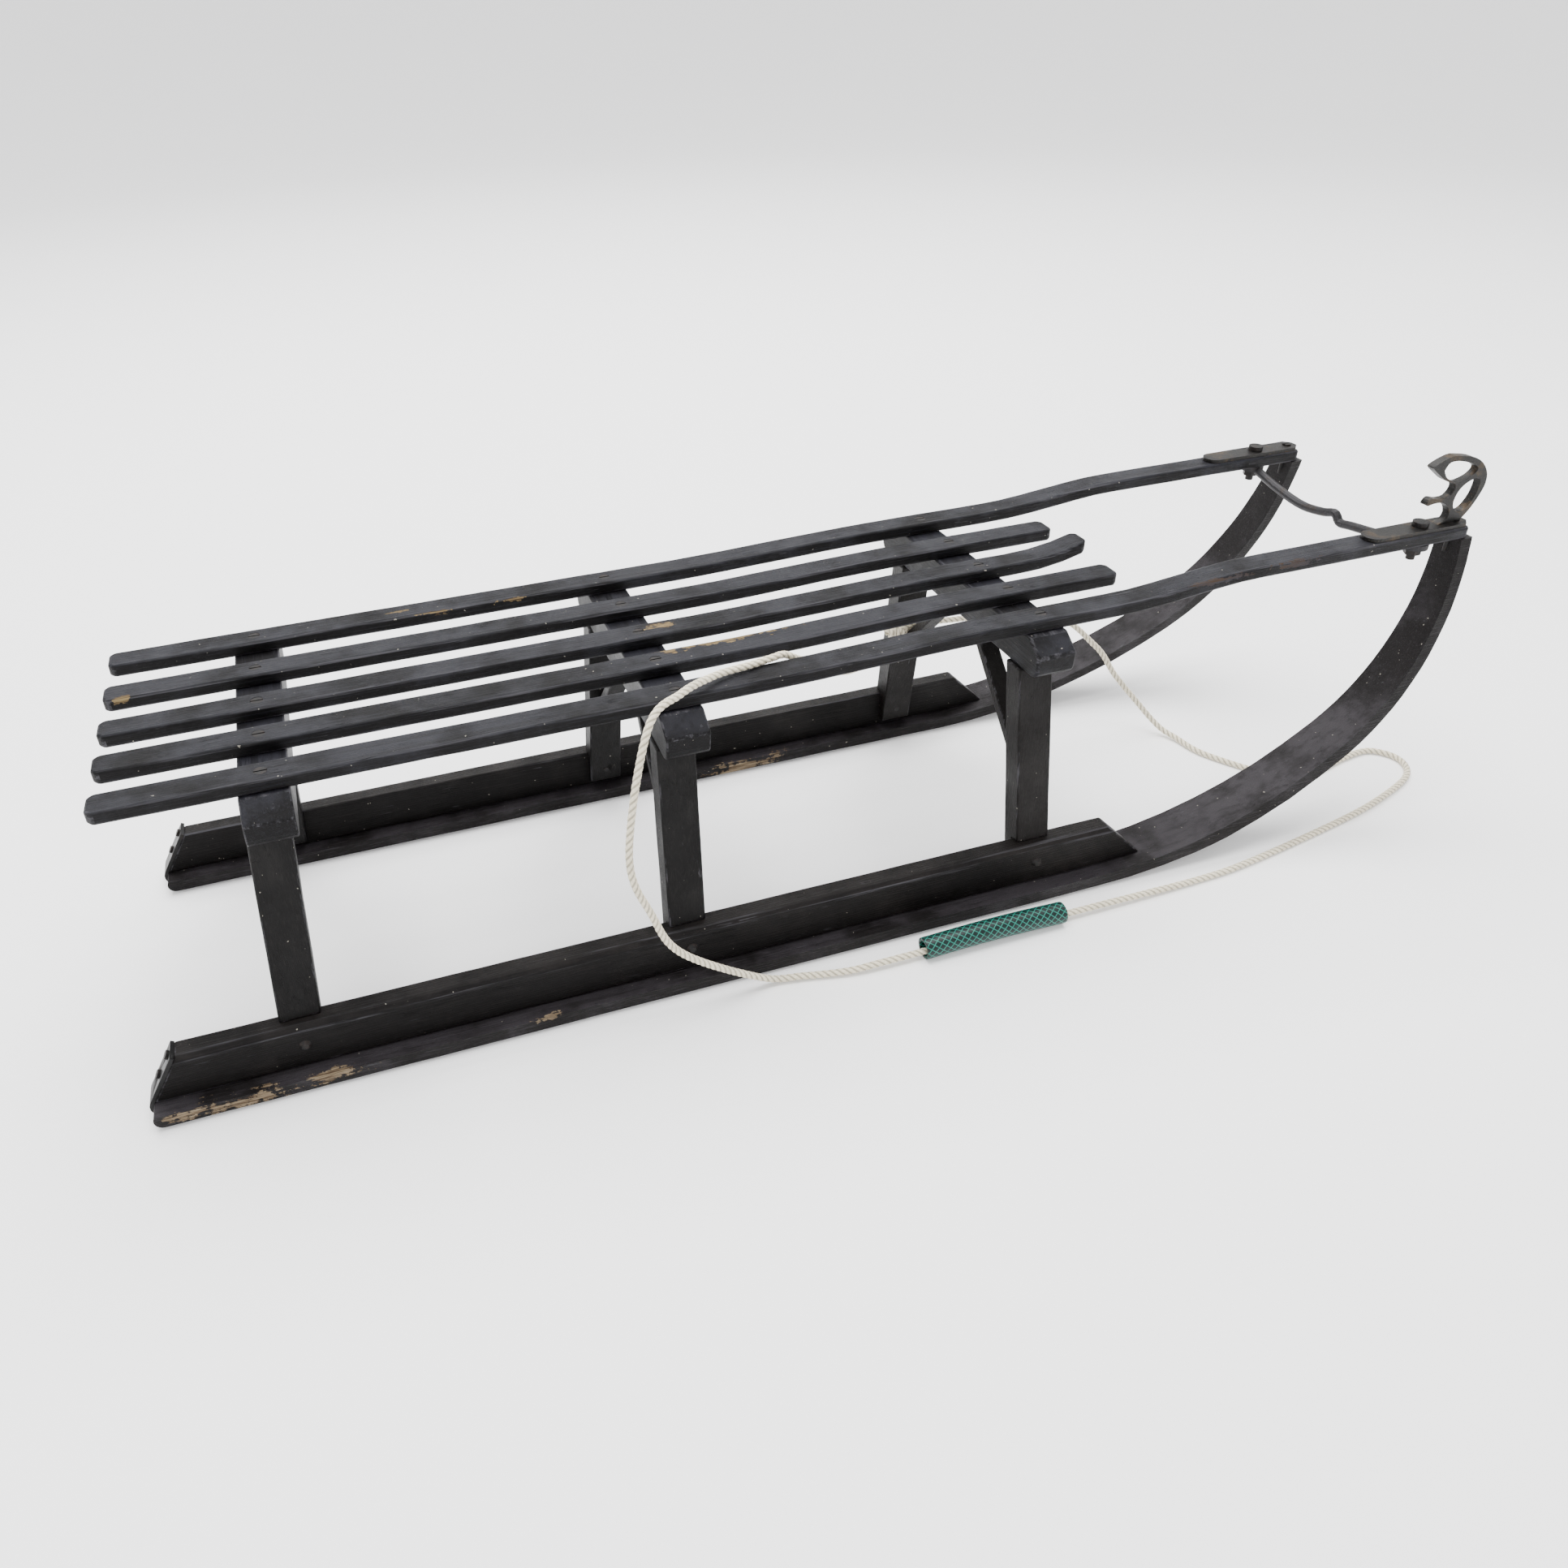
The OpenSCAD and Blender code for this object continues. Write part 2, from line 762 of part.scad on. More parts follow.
// Outline of the scroll from its neck round by the tail, over the curl and down again
scroll_rim = [
    [-14, -1], [-8, 1], [-3, 4], [-2, 9], [-5, 15], [-10, 19], [-17, 21], [-23, 21], [-29, 20],
    [-30, 22], [-28, 25], [-25, 26], [-18, 24], [-10, 24], [-6, 27], [-4, 32], [-6, 36],
    [-11, 38], [-18, 41], [-25, 46], [-34, 53], [-34, 55], [-31, 57], [-24, 60], [-16, 62],
    [-8, 61], [2, 59], [12, 55], [20, 49], [26, 41], [28, 33], [27, 26], [23, 16], [19, 9],
    [14, 3], [9, -1]
];
scroll_eye = [
    [-22, 50], [-19, 56], [-13, 57], [-6, 56], [4, 53], [12, 49], [14, 46], [12, 43], [8, 40],
    [2, 38], [-4, 37], [-12, 40], [-18, 44]
];
scroll_loop = [
    [21, 36], [22, 31], [21, 22], [17, 14], [13, 10], [8, 9], [3, 11], [-1, 17], [-1, 24],
    [2, 31], [8, 36], [14, 38], [19, 38]
];

// A smooth closed curve through points
module rounded(p, n) {
    line = smooth_line(concat(p, [p[0]]), n);
    polygon([for (i = [0 : n - 2]) line[i]]);
}

module horn_tang_left() {
    color(iron) placed() tang(left);
}

module scroll_horn_right() {
    color(iron) placed() {
        tang(right);
        translate([scroll_x, -rail_y, tip_top + tang_t - fit]) from_side(scroll_t) difference() {
            polygon(smooth_line(scroll_rim, 72));
            rounded(scroll_eye, 32);
            rounded(scroll_loop, 32);
            // level with the inside of the tang
            translate([-big, -2]) square([2 * big, 2]);
            // room for the head of the tip screw
            translate([tip_screw_x - scroll_x - head_d / 2, -2]) square([head_d, 2 + head_h + 2 * fit]);
        }
    }
}

module tip_bolt(side) {
    stack = tang_t + slat_t + eye_t + nut_h + bolt_proud;
    translate([bolt_x, side * rail_y, tip_top + tang_t]) {
        cylinder(d = bolt_head_d, h = bolt_head_h);
        translate([0, 0, -stack]) cylinder(d = bolt_d, h = stack + bolt_head_h / 2);
    }
}

module tip_nut(side) {
    translate([bolt_x, side * rail_y, tip_low - eye_t - nut_h]) difference() {
        cylinder(d = nut_af / cos(30), h = nut_h, $fn = 6);
        translate([0, 0, -fit]) cylinder(d = bolt_d + 2 * fit, h = nut_h + 2 * fit);
    }
}

module tip_bolt_left() {
    color(iron) placed() tip_bolt(left);
}

module tip_bolt_right() {
    color(iron) placed() tip_bolt(right);
}

module tip_nut_left() {
    color(iron) placed() tip_nut(left);
}

module tip_nut_right() {
    color(iron) placed() tip_nut(right);
}

// Bent rod between the rails' tips; its flattened eyes are held by the tip bolts
module tie_rod() {
    sag = [[60, 12], [27, 16], [2, 13], [-12, 9], [-20, 15], [-34, 13], [-70, 8]];
    y_end = rail_y - eye_d / 2 + 3;
    z_end = rod_d / 2 + fit;
    route = concat(
        [[bolt_x, y_end, tip_low - z_end], [bolt_x, y_end - 8, tip_low - z_end - 2]],
        [for (q = sag) [bolt_x, q[0] * rail_y / 100, tip_low - q[1]]],
        [[bolt_x, 8 - y_end, tip_low - z_end - 2], [bolt_x, -y_end, tip_low - z_end]]
    );
    color(iron) placed() {
        difference() {
            union() {
                swept(smooth_line(route, 40), rod_d / 2, 12);
                for (side = [left, right]) {
                    translate([bolt_x, side * rail_y, tip_low - eye_t]) cylinder(d = eye_d, h = eye_t);
                }
            }
            for (side = [left, right]) {
                translate([bolt_x, side * rail_y, 0]) cylinder(d = bolt_d + 2 * fit, h = big);
            }
        }
    }
}

// ---------------------------------------------------------------- pull rope

// Middle of the front left post at a height
function post_y(z) =
    post_foot_y + (post_top_y - post_foot_y) * (z - beam_top) / (bar_low + seat_lift - beam_top);
function post_x(z) =
    x_front - post_back + foot_leans[2] * (bar_low + seat_lift - z) / (bar_low + seat_lift - beam_top);

knot_r = 8.5;
knot_rise = 23.6; // height of the knot above the lower end of the front braces
knot_z = bar_low + seat_lift - brace_drop + knot_rise;
knot_at = [
    x_front - post_back - brace_w / 2 - knot_r - turn_gap / 2,
    post_y(knot_z) - post_t / 2 - knot_r - turn_gap / 2, knot_z
];

// Points along the middle of the rope, from the knot round to the knot again
rope_route = [
    knot_at + (knot_r + fit) * unit([0.8, -0.05, 0.6]),
    knot_at + (knot_r + 4) * unit([0.8, -0.05, 0.6]), [x_front + 30, knot_at[1] - 3, knot_z + 7],
    [x_front + 140, 83, 134], [x_front + 194, 72, 93], [x_front + 216, 62, 60],
    [x_front + 236, 48, 33], [x_front + 253, 28, 10], [x_front + 262, 10, floor_z + 1.2],
    [x_front + 272, -25, floor_z], [x_front + 312, -78, floor_z],
    [x_front + 350, -84, floor_z], [x_tip - 21, -76, floor_z], [x_tip + 13, -74, floor_z],
    [x_tip + 29, -95, floor_z], [x_tip + 14, -120, floor_z], [x_tip - 39, -141, floor_z],
    [x_tip - 101, -side_y + 26, floor_z], [x_front + 200, -side_y + 7, floor_z],
    [x_front + 140, -side_y + 2, floor_z], [hose_x + hose_len / 2 + 36, -side_y, hose_z],
    [hose_x, -side_y, hose_z], [hose_x - hose_len / 2 - 34, -side_y, hose_z],
    [hose_x - hose_len / 2 - 66, 2 - side_y, floor_z + 1], [x_middle + 75, 9 - side_y, floor_z + 1],
    [x_middle + 41, 12 - side_y, 11], [x_middle - 25, 4 - side_y, 65],
    [x_middle - 48, 2 - side_y, 112], [x_middle - 61, 5 - side_y, 0.68 * seat_h],
    [x_middle - 35, 34 - side_y, seat_h + 3], [x_middle - 3, -rail_y - 24, seat_h + 11],
    [x_middle + 31, -rail_y - 1, seat_z + 3], [x_middle + 62, -rail_y + 8, seat_z + 0.4],
    [x_middle + 80, -rail_y + 12, seat_z + 0.4], [x_middle + 92, -rail_y + 16.5, seat_z - 1.5],
    [x_middle + 106, -rail_y + 22, seat_h - 8], [x_middle + 160, -35, seat_h - 54],
    [x_front - 91, 20, knot_z + 19], [knot_at[0] - 28, knot_at[1] - 28, knot_z + 4],
    knot_at + (knot_r + fit) * unit([-0.7, -0.7, 0.1])
];

module pull_rope() {
    color(cord_white) placed() swept(smooth_line(rope_route, rope_rings), rope_r, rope_sides);
}

// The knot, and the turn of rope round the post that it holds
module rope_knot() {
    reach_x = post_w / 2 + rope_r + turn_gap;
    reach_y = post_t / 2 + rope_r + turn_gap;
    loop = [for (k = [0 : turn_rings])
        let(a = 233 + k * 342 / turn_rings, c = cos(a), s = sin(a), e = pow(pow(c, 4) + pow(s, 4), 0.25))
        [post_x(knot_z) + 1.06 * reach_x * c / e, post_y(knot_z) + 1.06 * reach_y * s / e, knot_z]];
    color(cord_white) placed() {
        swept(loop, rope_r, rope_sides);
        translate(knot_at) sphere(r = knot_r);
    }
}

module hose_grip() {
    color(hose_green) placed() translate([hose_x - hose_len / 2, -side_y, hose_d / 2]) rotate([0, 90, 0])
        difference() {
            cylinder(d = hose_d, h = hose_len);
            translate([0, 0, -1]) cylinder(d = hose_d - 2 * hose_wall, h = hose_len + 2);
        }
}

rail_left();
rail_right();
slat_left();
slat_middle();
slat_right();
crossbar_rear();
crossbar_middle();
crossbar_front();
post_rear_left();
post_rear_right();
post_middle_left();
post_middle_right();
post_front_left();
post_front_right();
brace_rear_left();
brace_rear_right();
brace_middle_left();
brace_middle_right();
brace_front_left();
brace_front_right();
runner_beam_left();
runner_beam_right();
runner_lath_left();
runner_lath_right();
runner_sole_left();
runner_sole_right();
slat_screws();
foot_rivets();
heel_nails();
sole_screws();
tip_screws();
horn_tang_left();
scroll_horn_right();
tip_bolt_left();
tip_bolt_right();
tip_nut_left();
tip_nut_right();
tie_rod();
pull_rope();
rope_knot();
hose_grip();
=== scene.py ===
"""Looks of a slatted wooden sled: worn black paint, bent-wood runners, a twisted pull rope with a hose grip."""

import json
import logging
import math
from dataclasses import dataclass, field
from enum import Enum
from typing import Any, Callable, Iterable, Sequence

import bmesh
import bpy
from mathutils import Matrix, Quaternion, Vector, noise

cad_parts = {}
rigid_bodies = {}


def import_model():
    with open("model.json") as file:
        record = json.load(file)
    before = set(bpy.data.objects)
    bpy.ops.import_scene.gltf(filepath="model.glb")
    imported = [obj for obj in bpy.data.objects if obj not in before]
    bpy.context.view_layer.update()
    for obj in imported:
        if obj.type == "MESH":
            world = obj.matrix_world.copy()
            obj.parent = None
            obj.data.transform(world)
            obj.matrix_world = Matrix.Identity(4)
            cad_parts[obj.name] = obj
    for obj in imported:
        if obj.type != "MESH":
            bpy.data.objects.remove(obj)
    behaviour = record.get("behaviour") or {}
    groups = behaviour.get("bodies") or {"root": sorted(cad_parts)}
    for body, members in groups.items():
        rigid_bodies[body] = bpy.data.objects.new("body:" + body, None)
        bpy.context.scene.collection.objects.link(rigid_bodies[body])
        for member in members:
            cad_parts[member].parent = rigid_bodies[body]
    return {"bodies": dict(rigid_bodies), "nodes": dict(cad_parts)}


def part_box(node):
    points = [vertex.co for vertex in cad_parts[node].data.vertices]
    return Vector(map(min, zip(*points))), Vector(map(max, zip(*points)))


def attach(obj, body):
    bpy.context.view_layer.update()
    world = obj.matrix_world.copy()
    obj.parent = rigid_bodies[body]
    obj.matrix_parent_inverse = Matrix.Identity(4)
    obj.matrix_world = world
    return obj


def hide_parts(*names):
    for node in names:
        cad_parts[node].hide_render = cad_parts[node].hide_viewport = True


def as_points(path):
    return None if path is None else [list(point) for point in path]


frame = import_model()

log = logging.getLogger("sled")

MM = 0.001


class Grain(Enum):
    """The axis that the wood's fibres run along."""

    FORWARD = 0
    ACROSS = 1
    UPRIGHT = 2


class Layer(Enum):
    """What a face of a worn piece shows."""

    FACE = 0.0
    EDGE = 1.0


# ------------------------------------------------------------------ colours and nodes


def linear(hex_colour: str) -> tuple[float, float, float, float]:
    """Turn an sRGB hex colour into linear RGBA.

    Args:
        hex_colour: Six hex digits, with or without a leading #.

    Returns:
        Linear red, green, blue and an alpha of 1.
    """
    digits = hex_colour.lstrip("#")
    channels = [int(digits[i : i + 2], 16) / 255 for i in (0, 2, 4)]
    curve = [c / 12.92 if c <= 0.04045 else ((c + 0.055) / 1.055) ** 2.4 for c in channels]
    return (curve[0], curve[1], curve[2], 1.0)


def add(tree: bpy.types.NodeTree, kind: str, links: dict[Any, Any] | None = None, **settings: Any) -> Any:
    """Add a node with its settings and links.

    Args:
        tree: The node tree.
        kind: The node's type name, without the leading "ShaderNode".
        links: Input name or number to a socket to link, or to a value to set.
        settings: Attributes of the node, such as operation="MULTIPLY".

    Returns:
        The new node.
    """
    node = tree.nodes.new("ShaderNode" + kind)
    for name, value in settings.items():
        setattr(node, name, value)
    for name, value in (links or {}).items():
        if isinstance(value, bpy.types.NodeSocket):
            tree.links.new(value, node.inputs[name])
        else:
            node.inputs[name].default_value = value
    return node


def between(tree: bpy.types.NodeTree, value: Any, low: float, high: float) -> Any:
    """Ramp a value smoothly from 0 at low to 1 at high.

    Args:
        tree: The node tree.
        value: The socket to ramp.
        low: Where the result is 0.
        high: Where the result is 1.

    Returns:
        The ramped socket.
    """
    limits = {0: value, 1: low, 2: high, 3: 0.0, 4: 1.0}
    return add(tree, "MapRange", limits, interpolation_type="SMOOTHSTEP").outputs[0]


def blend(tree: bpy.types.NodeTree, factor: Any, first: Any, second: Any) -> Any:
    """Mix two colours.

    Args:
        tree: The node tree.
        factor: Socket or number, 0 for the first colour and 1 for the second.
        first: Socket or linear colour.
        second: Socket or linear colour.

    Returns:
        The mixed colour's socket.
    """
    return add(tree, "Mix", {0: factor, 6: first, 7: second}, data_type="RGBA").outputs[2]


def sums(tree: bpy.types.NodeTree, operation: str, first: Any, second: Any) -> Any:
    """Combine two numbers.

    Args:
        tree: The node tree.
        operation: A Math node's operation.
        first: Socket or number.
        second: Socket or number.

    Returns:
        The result's socket.
    """
    return add(tree, "Math", {0: first, 1: second}, operation=operation, use_clamp=False).outputs[0]


def speckle(tree: bpy.types.NodeTree, where: Any, size_mm: float, detail: float = 3.0, rough: float = 0.55) -> Any:
    """Noise whose features are about size_mm wide.

    Args:
        tree: The node tree.
        where: The coordinate socket, in metres.
        size_mm: Width of the largest features.
        detail: Octaves.
        rough: How strong the finer octaves are.

    Returns:
        The noise value's socket, about 0.3 to 0.7.
    """
    links = {"Vector": where, "Scale": 1 / (size_mm * MM), "Detail": detail, "Roughness": rough}
    return add(tree, "TexNoise", links).outputs[0]


# ------------------------------------------------------------------ finishes


@dataclass(frozen=True)
class Chip:
    """A place where the paint is gone.

    Attributes:
        place: Its middle, in millimetres in the sled's own frame.
        size: Its half sizes, in millimetres.
    """

    place: tuple[float, float, float]
    size: tuple[float, float, float]


@dataclass(frozen=True)
class PaintedBeech:
    """Old black oil paint, brushed on beech: dull, cracked along the grain, rubbed through on edges."""

    name: str
    grain: Grain
    paint: str = "#070607"
    rubbed: str = "#1d1d22"
    dust: str = "#454448"
    bare: str = "#7d6850"
    wear: float = 0.5
    seed: float = 0.0
    chips: tuple[Chip, ...] = ()

    # Beech grain: a ray fleck is about 1 mm wide and shows as streaks some 45 mm long
    fleck_mm: float = 1.1
    # Chalky old oil paint throws back less than half the light of a fresh coat
    gloss: float = 0.13
    fleck_run: float = 40.0

    def material(self) -> bpy.types.Material:
        """Make the material.

        Returns:
            The procedural material, on Object coordinates.
        """
        mat = bpy.data.materials.new(self.name)
        mat.use_nodes = True
        tree = mat.node_tree
        tree.nodes.clear()
        place = add(tree, "TexCoord").outputs["Object"]
        moved = add(tree, "Mapping", {"Vector": place, "Location": (self.seed, self.seed * 0.7, self.seed * 1.3)})
        base = moved.outputs[0]
        squash = [1.0, 1.0, 1.0]
        squash[self.grain.value] = 1 / self.fleck_run
        along = add(tree, "Mapping", {"Vector": base, "Scale": squash}).outputs[0]

        # Streaks of the grain under the paint, and the cracks that follow it
        streak = speckle(tree, along, self.fleck_mm, 5.0, 0.65)
        wide_streak = speckle(tree, along, self.fleck_mm * 5, 2.0)
        crack_line = speckle(tree, along, self.fleck_mm * 2.6, 2.0, 0.4)
        crack_off = add(tree, "Math", {0: sums(tree, "SUBTRACT", crack_line, 0.5)}, operation="ABSOLUTE").outputs[0]
        crack_thin = between(tree, crack_off, 0.012, 0.0)
        crack_where = between(tree, speckle(tree, base, 38.0, 2.0), 0.5, 0.62)
        crack = sums(tree, "MULTIPLY", crack_thin, crack_where)

        # Rubbed paint in broad uneven patches, plus painted sheen that makes what faces up lighter
        cloud = speckle(tree, base, 55.0, 4.0, 0.6)
        up = add(tree, "SeparateXYZ", {0: add(tree, "NewGeometry").outputs["Normal"]}).outputs[2]
        # Painted sheen: faces that point up get more of the lighter rubbed colour, as light from above would show
        painted_top_sheen = between(tree, up, 0.35, 0.9)
        patch = between(tree, sums(tree, "ADD", cloud, sums(tree, "MULTIPLY", painted_top_sheen, 0.17)), 0.5, 0.74)
        coat = blend(tree, patch, linear(self.paint), linear(self.rubbed))
        streaked = sums(tree, "MULTIPLY", between(tree, streak, 0.52, 0.66), 0.75)
        coat = blend(tree, streaked, coat, linear(self.rubbed))
        coat = blend(tree, sums(tree, "MULTIPLY", between(tree, wide_streak, 0.52, 0.3), 0.5), coat, linear(self.paint))

        # Worn edges: the paint is thin or gone in broken lengths
        edge = add(tree, "Attribute", attribute_name="worn").outputs["Fac"]
        broken = speckle(tree, along, 4.0, 4.0, 0.7)
        edge_wear = sums(tree, "MULTIPLY", edge, between(tree, broken, 0.62 - 0.25 * self.wear, 0.66))
        coat = blend(tree, sums(tree, "MULTIPLY", edge_wear, 0.8), coat, linear(self.dust))

        # Flakes and pale specks the size of a pinhead
        flake = speckle(tree, along, 3.2, 4.0, 0.75)
        flake_where = between(tree, speckle(tree, base, 22.0, 2.0), 0.55, 0.66)
        flakes = sums(tree, "MULTIPLY", between(tree, flake, 0.63, 0.66), flake_where)
        coat = blend(tree, sums(tree, "MULTIPLY", flakes, 0.55), coat, linear(self.dust))
        speck = between(tree, speckle(tree, base, 3.0, 1.0), 0.775, 0.8)
        coat = blend(tree, sums(tree, "MULTIPLY", speck, 0.55), coat, linear("#a8a397"))

        # Bare wood where a chip has gone
        gone: Any = 0.0
        ragged = speckle(tree, along, 3.5, 5.0, 0.75)
        bitten = speckle(tree, base, 9.0, 4.0, 0.7)
        for chip in self.chips:
            stretch = [1 / (s * MM) for s in chip.size]
            shift = [-p / s for p, s in zip(chip.place, chip.size)]
            local = add(tree, "Mapping", {"Vector": place, "Scale": stretch, "Location": shift}).outputs[0]
            far = add(tree, "VectorMath", {0: local}, operation="LENGTH").outputs["Value"]
            torn = sums(tree, "ADD", far, sums(tree, "MULTIPLY", sums(tree, "SUBTRACT", ragged, 0.5), 4.5))
            torn = sums(tree, "ADD", torn, sums(tree, "MULTIPLY", sums(tree, "SUBTRACT", bitten, 0.5), 5.0))
            gone = sums(tree, "MAXIMUM", gone, between(tree, torn, 1.0, 0.86))
        if self.chips:
            wood = blend(tree, between(tree, streak, 0.35, 0.65), linear("#3b2d20"), linear(self.bare))
            coat = blend(tree, gone, coat, wood)
        coat = blend(tree, sums(tree, "MULTIPLY", crack, 0.85), coat, linear("#050505"))

        # Height in millimetres: grain, brush marks, cracks and the step down to bare wood
        height = sums(tree, "MULTIPLY", streak, 0.75)
        height = sums(tree, "ADD", height, sums(tree, "MULTIPLY", cloud, 0.9))
        height = sums(tree, "SUBTRACT", height, sums(tree, "MULTIPLY", crack, 0.6))
        height = sums(tree, "SUBTRACT", height, sums(tree, "MULTIPLY", flakes, 0.12))
        height = sums(tree, "SUBTRACT", height, sums(tree, "MULTIPLY", gone, 0.25))
        bump = add(tree, "Bump", {"Height": height, "Distance": 1.0 * MM, "Strength": 0.85}).outputs[0]
        rough = sums(tree, "ADD", sums(tree, "MULTIPLY", between(tree, cloud, 0.35, 0.65), -0.14), 0.56)
        rough = sums(tree, "ADD", rough, sums(tree, "MULTIPLY", sums(tree, "MAXIMUM", gone, edge_wear), 0.2))
        links = {"Base Color": coat, "Roughness": rough, "Normal": bump, "IOR": 1.5, "Specular IOR Level": self.gloss}
        shader = add(tree, "BsdfPrincipled", links)
        add(tree, "OutputMaterial", {"Surface": shader.outputs[0]})
        return mat


@dataclass(frozen=True)
class OldIron:
    """Bare iron gone dark: a dull oxide skin with brown rust in the hollows and rubbed bright edges."""

    name: str
    oxide: str = "#2b2a29"
    rust: str = "#4a3524"
    rubbed: str = "#75706a"
    grit_mm: float = 1.4
    patch_mm: float = 12.0
    rust_share: float = 0.35
    metal: float = 0.55
    roughness: float = 0.5

    def material(self) -> bpy.types.Material:
        """Make the material.

        Returns:
            The procedural material, on Object coordinates.
        """
        mat = bpy.data.materials.new(self.name)
        mat.use_nodes = True
        tree = mat.node_tree
        tree.nodes.clear()
        place = add(tree, "TexCoord").outputs["Object"]
        grit = speckle(tree, place, self.grit_mm, 4.0, 0.65)
        patch = speckle(tree, place, self.patch_mm, 4.0, 0.6)
        rusty = between(tree, patch, 0.62 - 0.25 * self.rust_share, 0.68 - 0.1 * self.rust_share)
        skin = blend(tree, rusty, linear(self.oxide), linear(self.rust))
        skin = blend(tree, sums(tree, "MULTIPLY", between(tree, grit, 0.55, 0.7), 0.4), skin, linear(self.rubbed))
        edge = add(tree, "Attribute", attribute_name="worn").outputs["Fac"]
        rubbed = sums(tree, "MULTIPLY", edge, between(tree, patch, 0.42, 0.58))
        skin = blend(tree, sums(tree, "MULTIPLY", rubbed, 0.8), skin, linear(self.rubbed))
        height = sums(tree, "ADD", sums(tree, "MULTIPLY", grit, 0.16), sums(tree, "MULTIPLY", patch, 0.3))
        bump = add(tree, "Bump", {"Height": height, "Distance": 1.0 * MM, "Strength": 0.8}).outputs[0]
        rough = sums(tree, "ADD", sums(tree, "MULTIPLY", grit, 0.25), self.roughness - 0.1)
        links = {"Base Color": skin, "Roughness": rough, "Normal": bump, "Metallic": self.metal}
        shader = add(tree, "BsdfPrincipled", links)
        add(tree, "OutputMaterial", {"Surface": shader.outputs[0]})
        return mat


@dataclass(frozen=True)
class CottonRope:
    """Three-strand cotton rope, laid and a little grubby: soft and pale, with painted shade in the lay lines between
    strands.
    """

    name: str
    yarn: str = "#ece2c9"
    shade: str = "#8d8672"
    grub: str = "#cfc7b2"
    yarn_turns: float = 5.0

    def material(self) -> bpy.types.Material:
        """Make the material.

        Returns:
            The procedural material, on the piece's own UV map and "dip" attribute.
        """
        mat = bpy.data.materials.new(self.name)
        mat.use_nodes = True
        tree = mat.node_tree
        tree.nodes.clear()
        uv = add(tree, "UVMap", uv_map="lay").outputs[0]
        parts = add(tree, "SeparateXYZ", {0: uv})
        dip = add(tree, "Attribute", attribute_name="dip").outputs["Fac"]
        # Yarns cross each strand at a slant, about 0.8 mm apart
        slant = sums(tree, "ADD", sums(tree, "MULTIPLY", parts.outputs[0], self.yarn_turns * 2 * math.pi), 0.0)
        slant = sums(tree, "ADD", slant, sums(tree, "MULTIPLY", parts.outputs[1], 2 * math.pi / (2.2 * MM)))
        yarn = add(tree, "Math", {0: slant}, operation="SINE").outputs[0]
        yarn01 = sums(tree, "ADD", sums(tree, "MULTIPLY", yarn, 0.5), 0.5)
        place = add(tree, "TexCoord").outputs["Object"]
        grubby = between(tree, speckle(tree, place, 30.0, 3.0), 0.5, 0.7)
        skin = blend(tree, sums(tree, "MULTIPLY", grubby, 0.55), linear(self.yarn), linear(self.grub))
        # Painted shade: darker in the gaps between yarns and in the grooves between strands
        skin = blend(tree, sums(tree, "MULTIPLY", yarn01, 0.16), skin, linear(self.shade))
        skin = blend(tree, sums(tree, "MULTIPLY", between(tree, dip, 0.35, 1.0), 0.8), skin, linear(self.shade))
        height = sums(tree, "ADD", sums(tree, "MULTIPLY", yarn01, -0.2), sums(tree, "MULTIPLY", dip, -0.3))
        bump = add(tree, "Bump", {"Height": height, "Distance": 1.0 * MM, "Strength": 0.7}).outputs[0]
        links = {"Base Color": skin, "Roughness": 0.85, "Normal": bump, "Sheen Weight": 0.25, "Sheen Roughness": 0.5}
        shader = add(tree, "BsdfPrincipled", links)
        add(tree, "OutputMaterial", {"Surface": shader.outputs[0]})
        return mat


@dataclass(frozen=True)
class BraidedHose:
    """Extruded PVC garden hose: deep green with a paler braid showing through, a soft plastic shine."""

    name: str
    body: str = "#011615"
    braid: str = "#1e7869"
    # The real braid has 14 threads round at 4.7 mm: drawn a third coarser so that it shows
    diamonds_round: int = 10
    diamond_mm: float = 6.6
    thread: float = 0.1

    def material(self) -> bpy.types.Material:
        """Make the material.

        Returns:
            The procedural material, on the piece's own UV map.
        """
        mat = bpy.data.materials.new(self.name)
        mat.use_nodes = True
        tree = mat.node_tree
        tree.nodes.clear()
        parts = add(tree, "SeparateXYZ", {0: add(tree, "UVMap", uv_map="lay").outputs[0]})
        round_it = sums(tree, "MULTIPLY", parts.outputs[0], float(self.diamonds_round))
        along_it = sums(tree, "MULTIPLY", parts.outputs[1], 1 / (self.diamond_mm * MM))
        threads: Any = 0.0
        for operation in ("ADD", "SUBTRACT"):
            cell = sums(tree, operation, along_it, round_it)
            off = sums(tree, "SUBTRACT", add(tree, "Math", {0: cell}, operation="FRACT").outputs[0], 0.5)
            near = add(tree, "Math", {0: off}, operation="ABSOLUTE").outputs[0]
            threads = sums(tree, "MAXIMUM", threads, between(tree, near, self.thread, self.thread * 0.55))
        place = add(tree, "TexCoord").outputs["Object"]
        dirt = speckle(tree, place, 6.0, 5.0, 0.7)
        shown = sums(tree, "MULTIPLY", threads, between(tree, dirt, 0.25, 0.45))
        skin = blend(tree, sums(tree, "MULTIPLY", shown, 0.95), linear(self.body), linear(self.braid))
        skin = blend(tree, sums(tree, "MULTIPLY", between(tree, dirt, 0.55, 0.75), 0.5), skin, linear("#0a201c"))
        height = sums(tree, "ADD", sums(tree, "MULTIPLY", threads, 0.12), sums(tree, "MULTIPLY", dirt, 0.1))
        bump = add(tree, "Bump", {"Height": height, "Distance": 1.0 * MM, "Strength": 0.6}).outputs[0]
        links = {"Base Color": skin, "Roughness": 0.42, "Normal": bump, "IOR": 1.53, "Specular IOR Level": 0.3}
        shader = add(tree, "BsdfPrincipled", links)
        add(tree, "OutputMaterial", {"Surface": shader.outputs[0]})
        return mat


